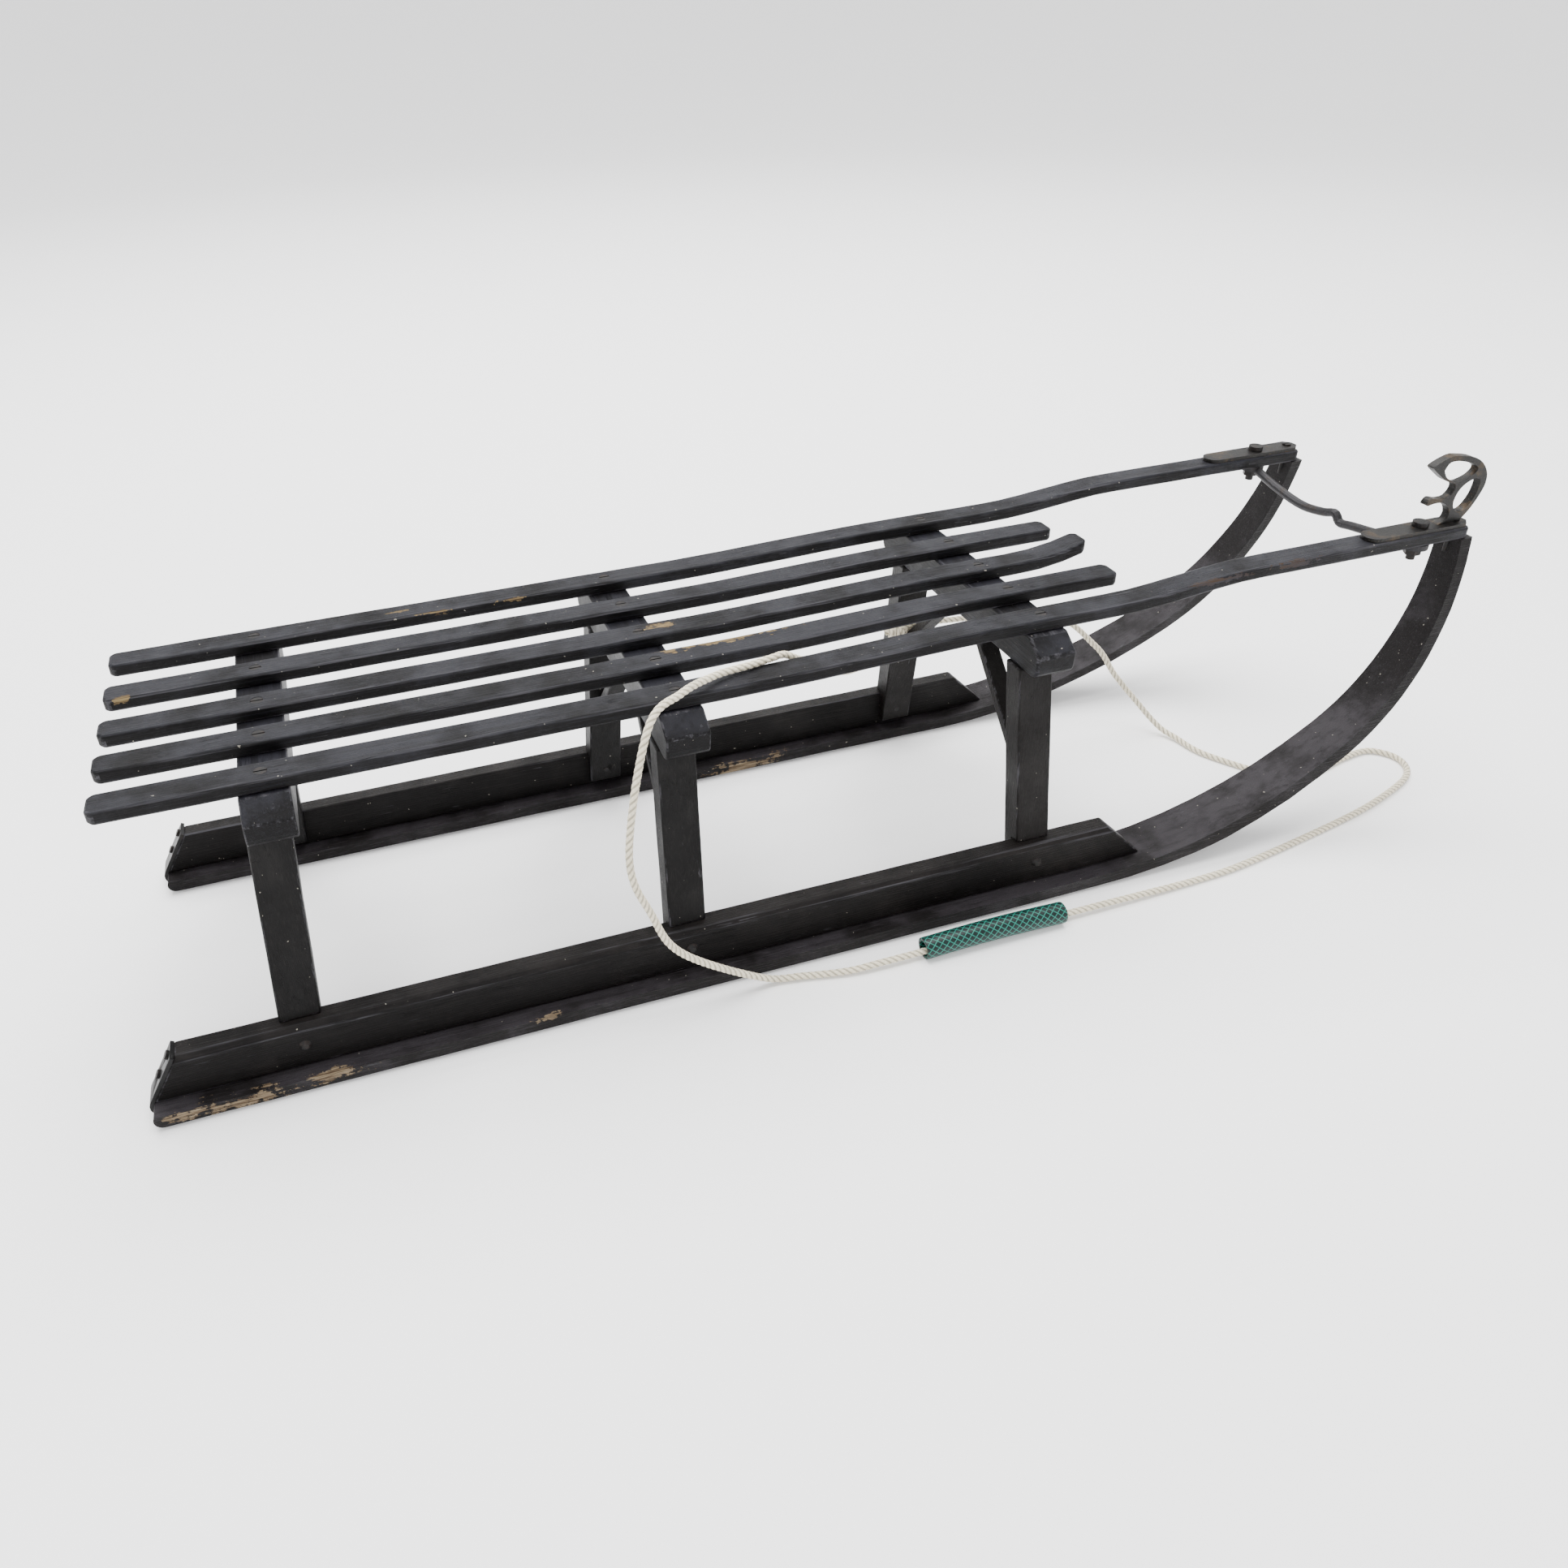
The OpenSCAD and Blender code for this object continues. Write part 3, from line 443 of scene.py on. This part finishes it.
@dataclass(frozen=True)
class StudioPaper:
    """Matt white paper sweep under the sled."""

    name: str = "studio_paper"
    glow: float = 0.15
    tone: str = "#fbfbfb"

    def material(self) -> bpy.types.Material:
        """Make the material.

        Returns:
            A matt paper material with a faint mottling.
        """
        mat = bpy.data.materials.new(self.name)
        mat.use_nodes = True
        tree = mat.node_tree
        shader = tree.nodes["Principled BSDF"]
        place = add(tree, "TexCoord").outputs["Object"]
        tone = blend(tree, speckle(tree, place, 400.0), linear(self.tone), linear("#f8f8f9"))
        tree.links.new(tone, shader.inputs["Base Color"])
        shader.inputs["Roughness"].default_value = 0.9
        # Light comes through the thin paper from behind, which whitens it
        shader.inputs["Emission Color"].default_value = (1.0, 1.0, 1.0, 1.0)
        shader.inputs["Emission Strength"].default_value = self.glow
        return mat


# ------------------------------------------------------------------ mesh helpers


def put(name: str, bm: bmesh.types.BMesh, material: bpy.types.Material) -> bpy.types.Object:
    """Turn a bmesh into an object in the scene.

    Args:
        name: The object's name.
        bm: The finished bmesh, which is freed.
        material: Its material.

    Returns:
        The new object.
    """
    mesh = bpy.data.meshes.new(name)
    bm.to_mesh(mesh)
    bm.free()
    mesh.materials.append(material)
    obj = bpy.data.objects.new(name, mesh)
    bpy.context.scene.collection.objects.link(obj)
    return obj


def finish_piece(obj: bpy.types.Object, slot: str, nodes: Sequence[str]) -> bpy.types.Object:
    """Give a piece its body and hide the solids that it stands for.

    Args:
        obj: The piece.
        slot: The record's material slot; not used.
        nodes: Names of the solids that it replaces.

    Returns:
        The same piece.
    """
    body = next(iter(frame["bodies"]))
    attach(obj, body)
    if nodes:
        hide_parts(*nodes)
    log.info("%s: %d faces", obj.name, len(obj.data.polygons))
    return obj


def smooth_route(points: Sequence[Vector], step: float) -> list[Vector]:
    """Sample the smooth curve through points at even steps.

    Args:
        points: Points that the curve passes through.
        step: Distance between samples, in metres.

    Returns:
        The samples, first and last point included.
    """
    fine: list[Vector] = []
    last = len(points) - 1
    for i in range(last):
        a, b, c, d = points[max(0, i - 1)], points[i], points[i + 1], points[min(last, i + 2)]
        for k in range(40):
            t = k / 40
            bend = (2 * a - 5 * b + 4 * c - d) * t * t
            fine.append(0.5 * (2 * b + (c - a) * t + bend + (3 * b - a - 3 * c + d) * t * t * t))
    fine.append(points[-1].copy())
    total = sum((q - p).length for p, q in zip(fine, fine[1:]))
    count = max(2, round(total / step))
    even = [fine[0].copy()]
    gone = 0.0
    target = total / count
    for p, q in zip(fine, fine[1:]):
        span = (q - p).length
        while span > 0 and gone + span >= target * len(even) and len(even) < count:
            even.append(p.lerp(q, (target * len(even) - gone) / span))
        gone += span
    even.append(fine[-1].copy())
    return even


def line_length(line: Sequence[Vector]) -> float:
    """Length of a line through points, in metres."""
    return sum((q - p).length for p, q in zip(line, line[1:]))


def sweep(bm: bmesh.types.BMesh, line: Sequence[Vector], outline: Callable[[float], float], sides: int,
          turn_per_m: float = 0.0, caps: bool = True) -> None:
    """Extrude a ring along a line, turned as it goes.

    Args:
        bm: The bmesh to add to.
        line: Samples of the middle line.
        outline: Radius of the ring at an angle, in metres.
        sides: Points on the ring.
        turn_per_m: Turn of the ring in radians per metre of line.
        caps: Whether the ends are closed.
    """
    uv = bm.loops.layers.uv.get("lay") or bm.loops.layers.uv.new("lay")
    dip = bm.verts.layers.float.get("dip") or bm.verts.layers.float.new("dip")
    angles = [2 * math.pi * k / sides for k in range(sides)]
    radii = [outline(a) for a in angles]
    top, low = max(radii), min(radii)
    dips = [(top - r) / (top - low) if top > low else 0.0 for r in radii]
    side_way = Vector((0.02, 0.2, 1.0))
    gone = 0.0
    ring: list[bmesh.types.BMVert] = []
    for i, point in enumerate(line):
        way = (line[min(i + 1, len(line) - 1)] - line[max(i - 1, 0)]).normalized()
        side_way = (side_way - way * side_way.dot(way)).normalized()
        other = way.cross(side_way)
        if i:
            gone += (point - line[i - 1]).length
        turn = turn_per_m * gone
        spots = [point + r * (math.cos(a + turn) * side_way + math.sin(a + turn) * other)
                 for a, r in zip(angles, radii)]
        if not ring:
            made = bmesh.ops.create_circle(bm, segments=sides, radius=top, cap_ends=False)["verts"]
            ring = list(made)
            for vert, spot, d in zip(ring, spots, dips):
                vert.co = spot
                vert[dip] = d
            first = list(ring)
            continue
        rim = [bm.edges.get((ring[k], ring[(k + 1) % sides])) for k in range(sides)]
        out = bmesh.ops.extrude_edge_only(bm, edges=rim)["geom"]
        faces = [g for g in out if isinstance(g, bmesh.types.BMFace)]
        match = {}
        fresh = {g for g in out if isinstance(g, bmesh.types.BMVert)}
        for edge in (g for g in out if isinstance(g, bmesh.types.BMEdge)):
            a, b = edge.verts
            if (a in fresh) != (b in fresh):
                match[b if a in fresh else a] = a if a in fresh else b
        if not match:
            for face in faces:
                for edge in face.edges:
                    a, b = edge.verts
                    if (a in fresh) != (b in fresh):
                        match[b if a in fresh else a] = a if a in fresh else b
        old_index = {vert: k for k, vert in enumerate(ring)}
        ring = [match[vert] for vert in ring]
        for vert, spot, d in zip(ring, spots, dips):
            vert.co = spot
            vert[dip] = d
        index = {vert: k for k, vert in enumerate(ring)}
        before = gone - (point - line[i - 1]).length
        for face in faces:
            face.smooth = True
            ks = [old_index.get(v, index.get(v)) for v in face.verts]
            wraps = max(ks) - min(ks) > 1
            for loop in face.loops:
                k = old_index.get(loop.vert, index.get(loop.vert))
                u = 1.0 if wraps and k == 0 else k / sides
                loop[uv].uv = (u, gone if loop.vert in index else before)
    if caps:
        for loop_ring in (first, ring):
            rim = [bm.edges.get((loop_ring[k], loop_ring[(k + 1) % sides])) for k in range(sides)]
            bmesh.ops.contextual_create(bm, geom=rim)


# ------------------------------------------------------------------ wooden pieces


@dataclass
class WornCopy:
    """A solid of the frame, copied, with its edges rounded and its faces made uneven as by hand tools."""

    node: str
    slot: str
    grain: Grain
    material: bpy.types.Material
    rounding: float = 1.3 * MM
    step: float = 22 * MM
    wander: float = 0.28 * MM
    sharp: float = math.radians(28)
    shortest: float = 1.7 * MM

    def build(self) -> bpy.types.Object:
        """Build the piece.

        Returns:
            The finished piece, which replaces its solid.
        """
        bm = bmesh.new()
        bm.from_mesh(frame["nodes"][self.node].data)
        bmesh.ops.remove_doubles(bm, verts=bm.verts, dist=0.004 * MM)
        bmesh.ops.dissolve_limit(bm, angle_limit=math.radians(0.4), verts=bm.verts, edges=bm.edges)
        self._round_edges(bm)
        self._cut_across(bm)
        self._unsettle(bm)
        bmesh.ops.triangulate(bm, faces=[f for f in bm.faces if len(f.verts) > 4])
        bmesh.ops.recalc_face_normals(bm, faces=bm.faces)
        obj = put(self.node + "_worn", bm, self.material)
        return finish_piece(obj, self.slot, [self.node])

    def _round_edges(self, bm: bmesh.types.BMesh) -> None:
        """Bevel the sharp edges and mark the new faces as worn."""
        worn = bm.faces.layers.float.new("worn")
        sharp = []
        for edge in bm.edges:
            if edge.is_manifold and edge.calc_face_angle() > self.sharp and edge.calc_length() > self.shortest:
                sharp.append(edge)
        made = bmesh.ops.bevel(bm, geom=sharp, offset=self.rounding, offset_type="OFFSET", segments=2,
                               profile=0.5, affect="EDGES", clamp_overlap=True, material=-1)
        for face in made["faces"]:
            face.smooth = True
            face[worn] = Layer.EDGE.value

    def _cut_across(self, bm: bmesh.types.BMesh) -> None:
        """Cut the piece across the grain so that its faces can wander."""
        axis = self.grain.value
        low = min(v.co[axis] for v in bm.verts)
        high = max(v.co[axis] for v in bm.verts)
        normal = [0.0, 0.0, 0.0]
        normal[axis] = 1.0
        cuts = int((high - low) / self.step)
        for k in range(1, cuts):
            spot = [0.0, 0.0, 0.0]
            spot[axis] = low + (high - low) * k / cuts
            bmesh.ops.bisect_plane(bm, geom=bm.verts[:] + bm.edges[:] + bm.faces[:], dist=0.02 * MM,
                                   plane_co=spot, plane_no=normal)

    def _unsettle(self, bm: bmesh.types.BMesh) -> None:
        """Move the points a little, slowly along the grain and faster across it."""
        scale = Vector((45.0, 45.0, 45.0))
        scale[self.grain.value] = 26.0
        for vert in bm.verts:
            spot = Vector(a * b for a, b in zip(vert.co, scale))
            vert.co += noise.noise_vector(spot) * self.wander


@dataclass
class Seat:
    """Two long rails and three slats."""

    rails: tuple[str, ...] = ("rail_left", "rail_right")
    slats: tuple[str, ...] = ("slat_left", "slat_middle", "slat_right")
    chips: dict[str, tuple[Chip, ...]] = field(default_factory=lambda: {
        "slat_middle": (Chip((-131, -2, 246), (9, 3.5, 4)),),
        "slat_right": (Chip((-137, -45, 246), (6, 3, 4)), Chip((-88, -43, 243), (36, 4.2, 4)),
                       Chip((-102, -42, 246), (14, 3, 3))),
        "slat_left": (Chip((-540, 35, 245), (5, 2.5, 3)),),
        "rail_left": (Chip((-300, 89, 245), (17, 1.2, 1.7)), Chip((-235, 89, 245), (10, 1.0, 1.5)),
                      Chip((-330, 100, 246), (9, 2, 2))),
        "rail_right": (Chip((300, -111, 256), (30, 2, 2.5)), Chip((380, -111, 258), (18, 2, 2.5))),
    })

    def build(self) -> None:
        """Build the worn copies."""
        for count, node in enumerate(self.rails + self.slats):
            flaked = node == "rail_right"
            paint = PaintedBeech("black_painted_beech_" + node, Grain.FORWARD, seed=0.37 * count,
                                 wear=0.85 if flaked else 0.62, chips=self.chips.get(node, ()),
                                 bare="#333237" if flaked else "#83714f")
            WornCopy(node, "seat_wood", Grain.FORWARD, paint.material(), rounding=1.9 * MM).build()


@dataclass
class Trestles:
    """Three crossbars on leaning posts with knee braces."""

    places: tuple[str, ...] = ("rear", "middle", "front")
    sides: tuple[str, ...] = ("left", "right")

    def build(self) -> None:
        """Build the worn copies."""
        for count, place in enumerate(self.places):
            bar = PaintedBeech("black_painted_beech_bar_" + place, Grain.ACROSS, seed=1.1 + 0.4 * count, wear=0.7,
                               rubbed="#1e1e23")
            WornCopy("crossbar_" + place, "frame_wood", Grain.ACROSS, bar.material(), rounding=2.2 * MM,
                     step=18 * MM, wander=0.5 * MM).build()
            for side in self.sides:
                # Painted light: the front posts and braces get a browner black for the light falling on them
                post_paint_lit_front = "#0d0a09" if place == "front" else "#080707"
                post = PaintedBeech("black_painted_beech_post_" + place + "_" + side, Grain.UPRIGHT,
                                    seed=2.3 + 0.7 * count + (0.2 if side == "left" else 0.0), wear=0.5,
                                    paint=post_paint_lit_front, rubbed="#171514")
                made = post.material()
                WornCopy("post_" + place + "_" + side, "frame_wood", Grain.UPRIGHT, made).build()
                WornCopy("brace_" + place + "_" + side, "frame_wood", Grain.UPRIGHT, made).build()


@dataclass
class Runners:
    """Beams on bent laths, each shod with a steel sole."""

    sides: tuple[str, ...] = ("left", "right")
    lath_chips: tuple[Chip, ...] = (
        Chip((-500, 158, 8), (34, 6, 5)), Chip((-545, 158, 10), (16, 5, 4)), Chip((-440, 158, 12), (20, 5, 3)),
        Chip((-278, 158, 13), (9, 4, 2.2)), Chip((-20, 112, 8), (26, 5, 5)), Chip((14, 112, 12), (14, 4, 3)),
    )

    def build(self) -> None:
        """Build the worn copies."""
        for side in self.sides:
            hand = 1 if side == "left" else -1
            chips = tuple(Chip((c.place[0], hand * c.place[1], c.place[2]), c.size) for c in self.lath_chips)
            beam = PaintedBeech("black_painted_beech_beam_" + side, Grain.FORWARD, seed=4.0 + hand, wear=0.66,
                                paint="#080606", rubbed="#171413")
            lath = PaintedBeech("steamed_beech_lath_" + side, Grain.FORWARD, seed=6.0 + hand, wear=0.7,
                                paint="#0c0909", rubbed="#2a272a", bare="#857660", chips=chips, fleck_run=22.0)
            WornCopy("runner_beam_" + side, "frame_wood", Grain.FORWARD, beam.material(),
                     rounding=1.3 * MM).build()
            WornCopy("runner_lath_" + side, "runner_wood", Grain.FORWARD, lath.material(),
                     rounding=1.7 * MM, step=20 * MM).build()
            steel = OldIron("mild_steel_sole_" + side, oxide="#121212", rust="#1e1814", rubbed="#403e3d",
                            roughness=0.42, metal=0.7, patch_mm=26.0)
            WornCopy("runner_sole_" + side, "sole_steel", Grain.FORWARD, steel.material(),
                     rounding=0.6 * MM, wander=0.12 * MM).build()


@dataclass
class Irons:
    """Tangs, scroll, tie rod, bolts, nuts, screws and nails."""

    small: tuple[str, ...] = ("slat_screws", "foot_rivets", "heel_nails", "sole_screws", "tip_screws",
                              "tip_bolt_left", "tip_bolt_right", "tip_nut_left", "tip_nut_right")

    def build(self) -> None:
        """Build and dress the iron pieces."""
        cast = OldIron("cast_iron_horn", oxide="#141312", rust="#33281a", rubbed="#5d5548", rust_share=0.3,
                       roughness=0.46, metal=0.6, patch_mm=16.0).material()
        WornCopy("horn_tang_left", "cast_iron", Grain.FORWARD, cast, rounding=1.0 * MM, wander=0.15 * MM).build()
        WornCopy("scroll_horn_right", "cast_iron", Grain.FORWARD, cast, rounding=1.5 * MM, step=9 * MM,
                 wander=0.2 * MM, sharp=math.radians(60)).build()
        rod = OldIron("wrought_iron_rod", oxide="#1f1e20", rust="#211c19", rubbed="#4c4a4c", roughness=0.45,
                      metal=0.6).material()
        WornCopy("tie_rod", "rod_iron", Grain.ACROSS, rod, rounding=0.5 * MM, step=6 * MM, wander=0.25 * MM,
                 sharp=math.radians(70)).build()
        dark = OldIron("rusted_steel_screw", oxide="#0f0e0e", rust="#1c1512", rubbed="#34302e", grit_mm=0.9,
                       patch_mm=5.0, rust_share=0.7).material()
        for node in self.small:
            solid = frame["nodes"][node]
            solid.data.materials.clear()
            solid.data.materials.append(dark)


@dataclass
class PullRope:
    """A laid rope from the front left post, out on the ground, through its grip, over the seat and back."""

    diameter: float = 6 * MM
    strand_share: float = 0.16
    lay_length: float = 17 * MM
    ring_step: float = 1.9 * MM
    sides: int = 15
    knot_radius: float = 8.5 * MM
    gap: float = 0.1 * MM
    rope_gap: float = 0.2 * MM
    seat_h: float = 246.0
    rail_y: float = 100.0
    side_y: float = 182.0
    hose_len: float = 128.0
    hose_wall: float = 2.6
    hose_d: float = 18.0
    post_w: float = 30.0
    post_t: float = 20.0
    post_back: float = 4.0
    brace_w: float = 16.0
    brace_drop: float = 94.0
    knot_rise: float = 23.6

    def __post_init__(self) -> None:
        """Read the stations of the crossbars, the tip and the knot from the frame."""
        middles = []
        for node in ("crossbar_rear", "crossbar_middle", "crossbar_front"):
            low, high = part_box(node)
            middles.append((low[0] + high[0]) / 2 / MM)
        self.x_middle, self.x_front = middles[1], middles[2]
        self.x_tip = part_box("rail_right")[1][0] / MM
        low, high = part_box("hose_grip")
        self.hose_x = (low[0] + high[0]) / 2 / MM
        bar_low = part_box("crossbar_front")[0]
        beam_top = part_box("runner_beam_left")[1][2] / MM
        self.knot_z = bar_low[2] / MM - self.brace_drop + self.knot_rise
        rise = (self.knot_z - beam_top) / (bar_low[2] / MM - beam_top)
        self.post_y = 124.0 + (100.0 - 124.0) * rise
        self.post_x = self.x_front - 4.0 + 4.0 * (1 - rise)
        knot_y = self.post_y - self.post_t / 2 - self.knot_radius / MM - 0.5
        knot_x = self.x_front - self.post_back - self.brace_w / 2 - self.knot_radius / MM - 0.5
        self.knot = Vector((knot_x, knot_y, self.knot_z))

    def route(self) -> list[Vector]:
        """Points along the rope's middle, in metres.

        Returns:
            The points, from the knot round to the knot again.
        """
        radius = self.diameter / MM / 2
        floor_z = radius + self.rope_gap / MM
        seat_z = self.seat_h + radius + self.rope_gap / MM
        hose_z = self.hose_wall + radius + self.rope_gap / MM
        reach = self.knot_radius / MM + self.gap / MM
        front, middle, tip = self.x_front, self.x_middle, self.x_tip
        side, hose, half = self.side_y, self.hose_x, self.hose_len / 2
        kx, ky, kz = self.knot
        way_out = Vector((0.8, -0.05, 0.6)).normalized()
        start = self.knot + reach * way_out
        second = self.knot + (self.knot_radius / MM + 4) * way_out
        end = self.knot + reach * Vector((-0.7, -0.7, 0.1)).normalized()
        points = [
            tuple(start),
            tuple(second), (front + 30, ky - 3, kz + 7),
            (front + 140, 83, 134), (front + 194, 72, 93), (front + 216, 62, 60),
            (front + 236, 48, 33), (front + 253, 28, 10), (front + 262, 10, floor_z + 1.2),
            (front + 272, -25, floor_z), (front + 312, -78, floor_z),
            (front + 350, -84, floor_z), (tip - 21, -76, floor_z), (tip + 13, -74, floor_z),
            (tip + 29, -95, floor_z), (tip + 14, -120, floor_z), (tip - 39, -141, floor_z),
            (tip - 101, -side + 26, floor_z), (front + 200, -side + 7, floor_z),
            (front + 140, -side + 2, floor_z), (hose + half + 36, -side, hose_z),
            (hose, -side, hose_z), (hose - half - 34, -side, hose_z),
            (hose - half - 66, 2 - side, floor_z + 1), (middle + 75, 9 - side, floor_z + 1),
            (middle + 41, 12 - side, 11), (middle - 25, 4 - side, 65),
            (middle - 48, 2 - side, 112), (middle - 61, 5 - side, 0.68 * self.seat_h),
            (middle - 35, 34 - side, self.seat_h + 3), (middle - 3, -self.rail_y - 24, self.seat_h + 11),
            (middle + 31, -self.rail_y - 1, seat_z + 3), (middle + 62, -self.rail_y + 8, seat_z + 0.4),
            (middle + 80, -self.rail_y + 12, seat_z + 0.4), (middle + 92, -self.rail_y + 16.5, seat_z - 1.5),
            (middle + 106, -self.rail_y + 22, self.seat_h - 8), (middle + 160, -35, self.seat_h - 54),
            (front - 91, 20, kz + 19), (kx - 28, ky - 28, kz + 4),
            tuple(end),
        ]
        return [Vector(p) * MM for p in points]

    def outline(self, angle: float) -> float:
        """Radius of a three-strand rope at an angle round it.

        Args:
            angle: Angle in radians.

        Returns:
            The radius in metres.
        """
        bulge = abs(math.cos(1.5 * angle))
        return self.diameter / 2 * (1 - self.strand_share * (1 - bulge) ** 1.2)

    def build(self) -> None:
        cotton = CottonRope("three_strand_cotton_rope").material()
        line = smooth_route(self.route(), self.ring_step)
        bm = bmesh.new()
        sweep(bm, line, self.outline, self.sides, 2 * math.pi / self.lay_length)
        bmesh.ops.recalc_face_normals(bm, faces=bm.faces)
        rope = finish_piece(put("pull_rope_laid", bm, cotton), "rope", ["pull_rope"])
        knot = self._knot(cotton)
        grip = self._grip()
        tuple(line[0])
        round(line_length(line), 3)
        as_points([tuple(p) for p in line[::4]] + [tuple(line[-1])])
        log.info("rope length %.3f m", line_length(line))

    def _knot(self, cotton: bpy.types.Material) -> bpy.types.Object:
        """Build the turn round the post and the wrapped knot.

        Args:
            cotton: The rope's material.

        Returns:
            The knot's piece.
        """
        bm = bmesh.new()
        twist = 2 * math.pi / self.lay_length
        reach_x = self.post_w / 2 + 3.6
        reach_y = self.post_t / 2 + 3.6
        turn = []
        for k in range(33):
            angle = math.radians(236 + k * 338 / 32)
            c, s = math.cos(angle), math.sin(angle)
            square = (c**4 + s**4) ** 0.25
            tilt = 1.6 * math.sin(angle)
            turn.append(Vector((self.post_x + 1.06 * reach_x * c / square,
                                self.post_y + 1.06 * reach_y * s / square, self.knot_z + tilt)) * MM)
        sweep(bm, smooth_route(turn, self.ring_step), self.outline, self.sides, twist)
        # Two and a half round turns drawn tight, and a short tail
        wraps = []
        for k in range(41):
            share = k / 40
            angle = 2 * math.pi * 2.5 * share + 0.6
            swell = 4.9 + 0.7 * math.sin(math.pi * share)
            offset = Vector((-6.0 + 12.0 * share, swell * math.cos(angle), swell * math.sin(angle)))
            wraps.append((self.knot + offset) * MM)
        tail_from = wraps[-1]
        wraps.append(tail_from + Vector((4.0, -2.0, -5.0)) * MM)
        wraps.append(tail_from + Vector((7.0, -3.0, -13.0)) * MM)
        wraps.append(tail_from + Vector((8.0, -2.0, -21.0)) * MM)
        sweep(bm, smooth_route(wraps, self.ring_step), self.outline, self.sides, twist)
        bridge = [self.knot + Vector(p) for p in ((-9, 3, 2), (-4, 0, 5), (3, -2, 2), (8, -2, 3), (7.5, -3, 5))]
        sweep(bm, smooth_route([b * MM for b in bridge], self.ring_step), self.outline, self.sides, twist)
        bmesh.ops.recalc_face_normals(bm, faces=bm.faces)
        return finish_piece(put("rope_knot_tied", bm, cotton), "rope", ["rope_knot"])

    def _grip(self) -> bpy.types.Object:
        """Build the length of hose that the rope runs through.

        Returns:
            The grip's piece.
        """
        low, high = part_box("hose_grip")
        y = (low[1] + high[1]) / 2
        z = (low[2] + high[2]) / 2
        outer = self.hose_d * MM / 2
        rise = 1.6 * MM
        bm = bmesh.new()
        steps = 49
        line = []
        for k in range(steps):
            share = k / (steps - 1)
            x = low[0] + (high[0] - low[0]) * share
            line.append(Vector((x, y, z + rise * math.sin(math.pi * share))))
        sweep(bm, line, lambda angle: outer, 40, caps=False)
        bmesh.ops.recalc_face_normals(bm, faces=bm.faces)
        pvc = BraidedHose("braided_pvc_hose").material()
        grip = finish_piece(put("hose_grip_braided", bm, pvc), "hose", ["hose_grip"])
        wall = grip.modifiers.new("wall", "SOLIDIFY")
        wall.thickness = self.hose_wall * MM
        wall.offset = -1
        soft = grip.modifiers.new("cut_edges", "BEVEL")
        soft.width = 0.4 * MM
        soft.segments = 2
        soft.limit_method = "ANGLE"
        return grip


@dataclass
class Studio:
    """Camera, paper and soft lights."""

    lens: float = 27.567
    sensor: float = 36.0
    shift: tuple[float, float] = (0.0725, -0.0505)
    stand: tuple[float, float, float] = (76.6, -812.5, 697.9)
    pitch: float = 0.55820
    yaw: float = 0.28702
    roll: float = 0.04004

    def camera(self) -> None:
        """Place the camera, counted from the rear crossbar."""
        low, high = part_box("crossbar_rear")
        x_rear = (low[0] + high[0]) / 2
        cam = bpy.data.cameras.new("camera")
        cam.lens = self.lens
        cam.sensor_width = self.sensor
        cam.shift_x, cam.shift_y = self.shift
        obj = bpy.data.objects.new("camera", cam)
        bpy.context.scene.collection.objects.link(obj)
        ahead = Vector((math.sin(self.yaw) * math.cos(self.pitch), math.cos(self.yaw) * math.cos(self.pitch),
                        -math.sin(self.pitch)))
        aim = ahead.to_track_quat("-Z", "Y") @ Quaternion((0, 0, 1), -self.roll)
        spot = Vector(self.stand) * MM + Vector((x_rear, 0, 0))
        obj.matrix_world = Matrix.Translation(spot) @ aim.to_matrix().to_4x4()
        bpy.context.scene.camera = obj

    def paper(self) -> None:
        """Lay the floor."""
        bm = bmesh.new()
        flat, cove, top = 4.5, 3.0, 4.5
        rim = [(0.0, 0.0), (flat, 0.0)]
        rim += [(flat + cove * math.sin(math.radians(a)), cove - cove * math.cos(math.radians(a)))
                for a in range(10, 91, 10)]
        rim.append((flat + cove, top))
        line = [bm.verts.new((r, 0.0, z)) for r, z in rim]
        edges = [bm.edges.new(pair) for pair in zip(line, line[1:])]
        bmesh.ops.spin(bm, geom=line + edges, cent=(0, 0, 0), axis=(0, 0, 1), angle=2 * math.pi, steps=64,
                       use_merge=True)
        bmesh.ops.remove_doubles(bm, verts=bm.verts, dist=MM)
        bmesh.ops.recalc_face_normals(bm, faces=bm.faces)
        bmesh.ops.reverse_faces(bm, faces=bm.faces)
        for face in bm.faces:
            face.smooth = True
        floor = put("studio_floor", bm, StudioPaper().material())

    def lights(self) -> None:
        """Hang the soft lights and set the sky."""
        world = bpy.data.worlds.new("studio")
        world.use_nodes = True
        sky = world.node_tree.nodes["Background"]
        sky.inputs[0].default_value = (1.0, 1.0, 1.0, 1.0)
        sky.inputs[1].default_value = 1.0
        bpy.context.scene.world = world
        self._softbox("overhead", (0.1, 1.0, 3.4), (0, 0.3, 0.1), 3.4, 390.0)
        self._softbox("front_left", (-1.6, -1.6, 1.7), (0, 0, 0.1), 1.4, 16.0)

    def _softbox(self, name: str, spot: Iterable[float], target: Iterable[float], size: float, watts: float) -> None:
        """Hang one square light.

        Args:
            name: Its name.
            spot: Where it hangs, in metres.
            target: What it faces, in metres.
            size: Its side, in metres.
            watts: Its power.
        """
        light = bpy.data.lights.new(name, "AREA")
        light.size = size
        light.energy = watts
        obj = bpy.data.objects.new(name, light)
        bpy.context.scene.collection.objects.link(obj)
        way = Vector(target) - Vector(spot)
        obj.matrix_world = Matrix.Translation(Vector(spot)) @ way.to_track_quat("-Z", "Y").to_matrix().to_4x4()


def main() -> None:
    """Build the scene."""
    logging.basicConfig(level=logging.INFO, format="%(name)s %(message)s")
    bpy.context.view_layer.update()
    studio = Studio()
    studio.camera()
    PullRope().build()
    Seat().build()
    Trestles().build()
    Runners().build()
    Irons().build()
    studio.paper()
    studio.lights()


if __name__ == "__main__":
    main()
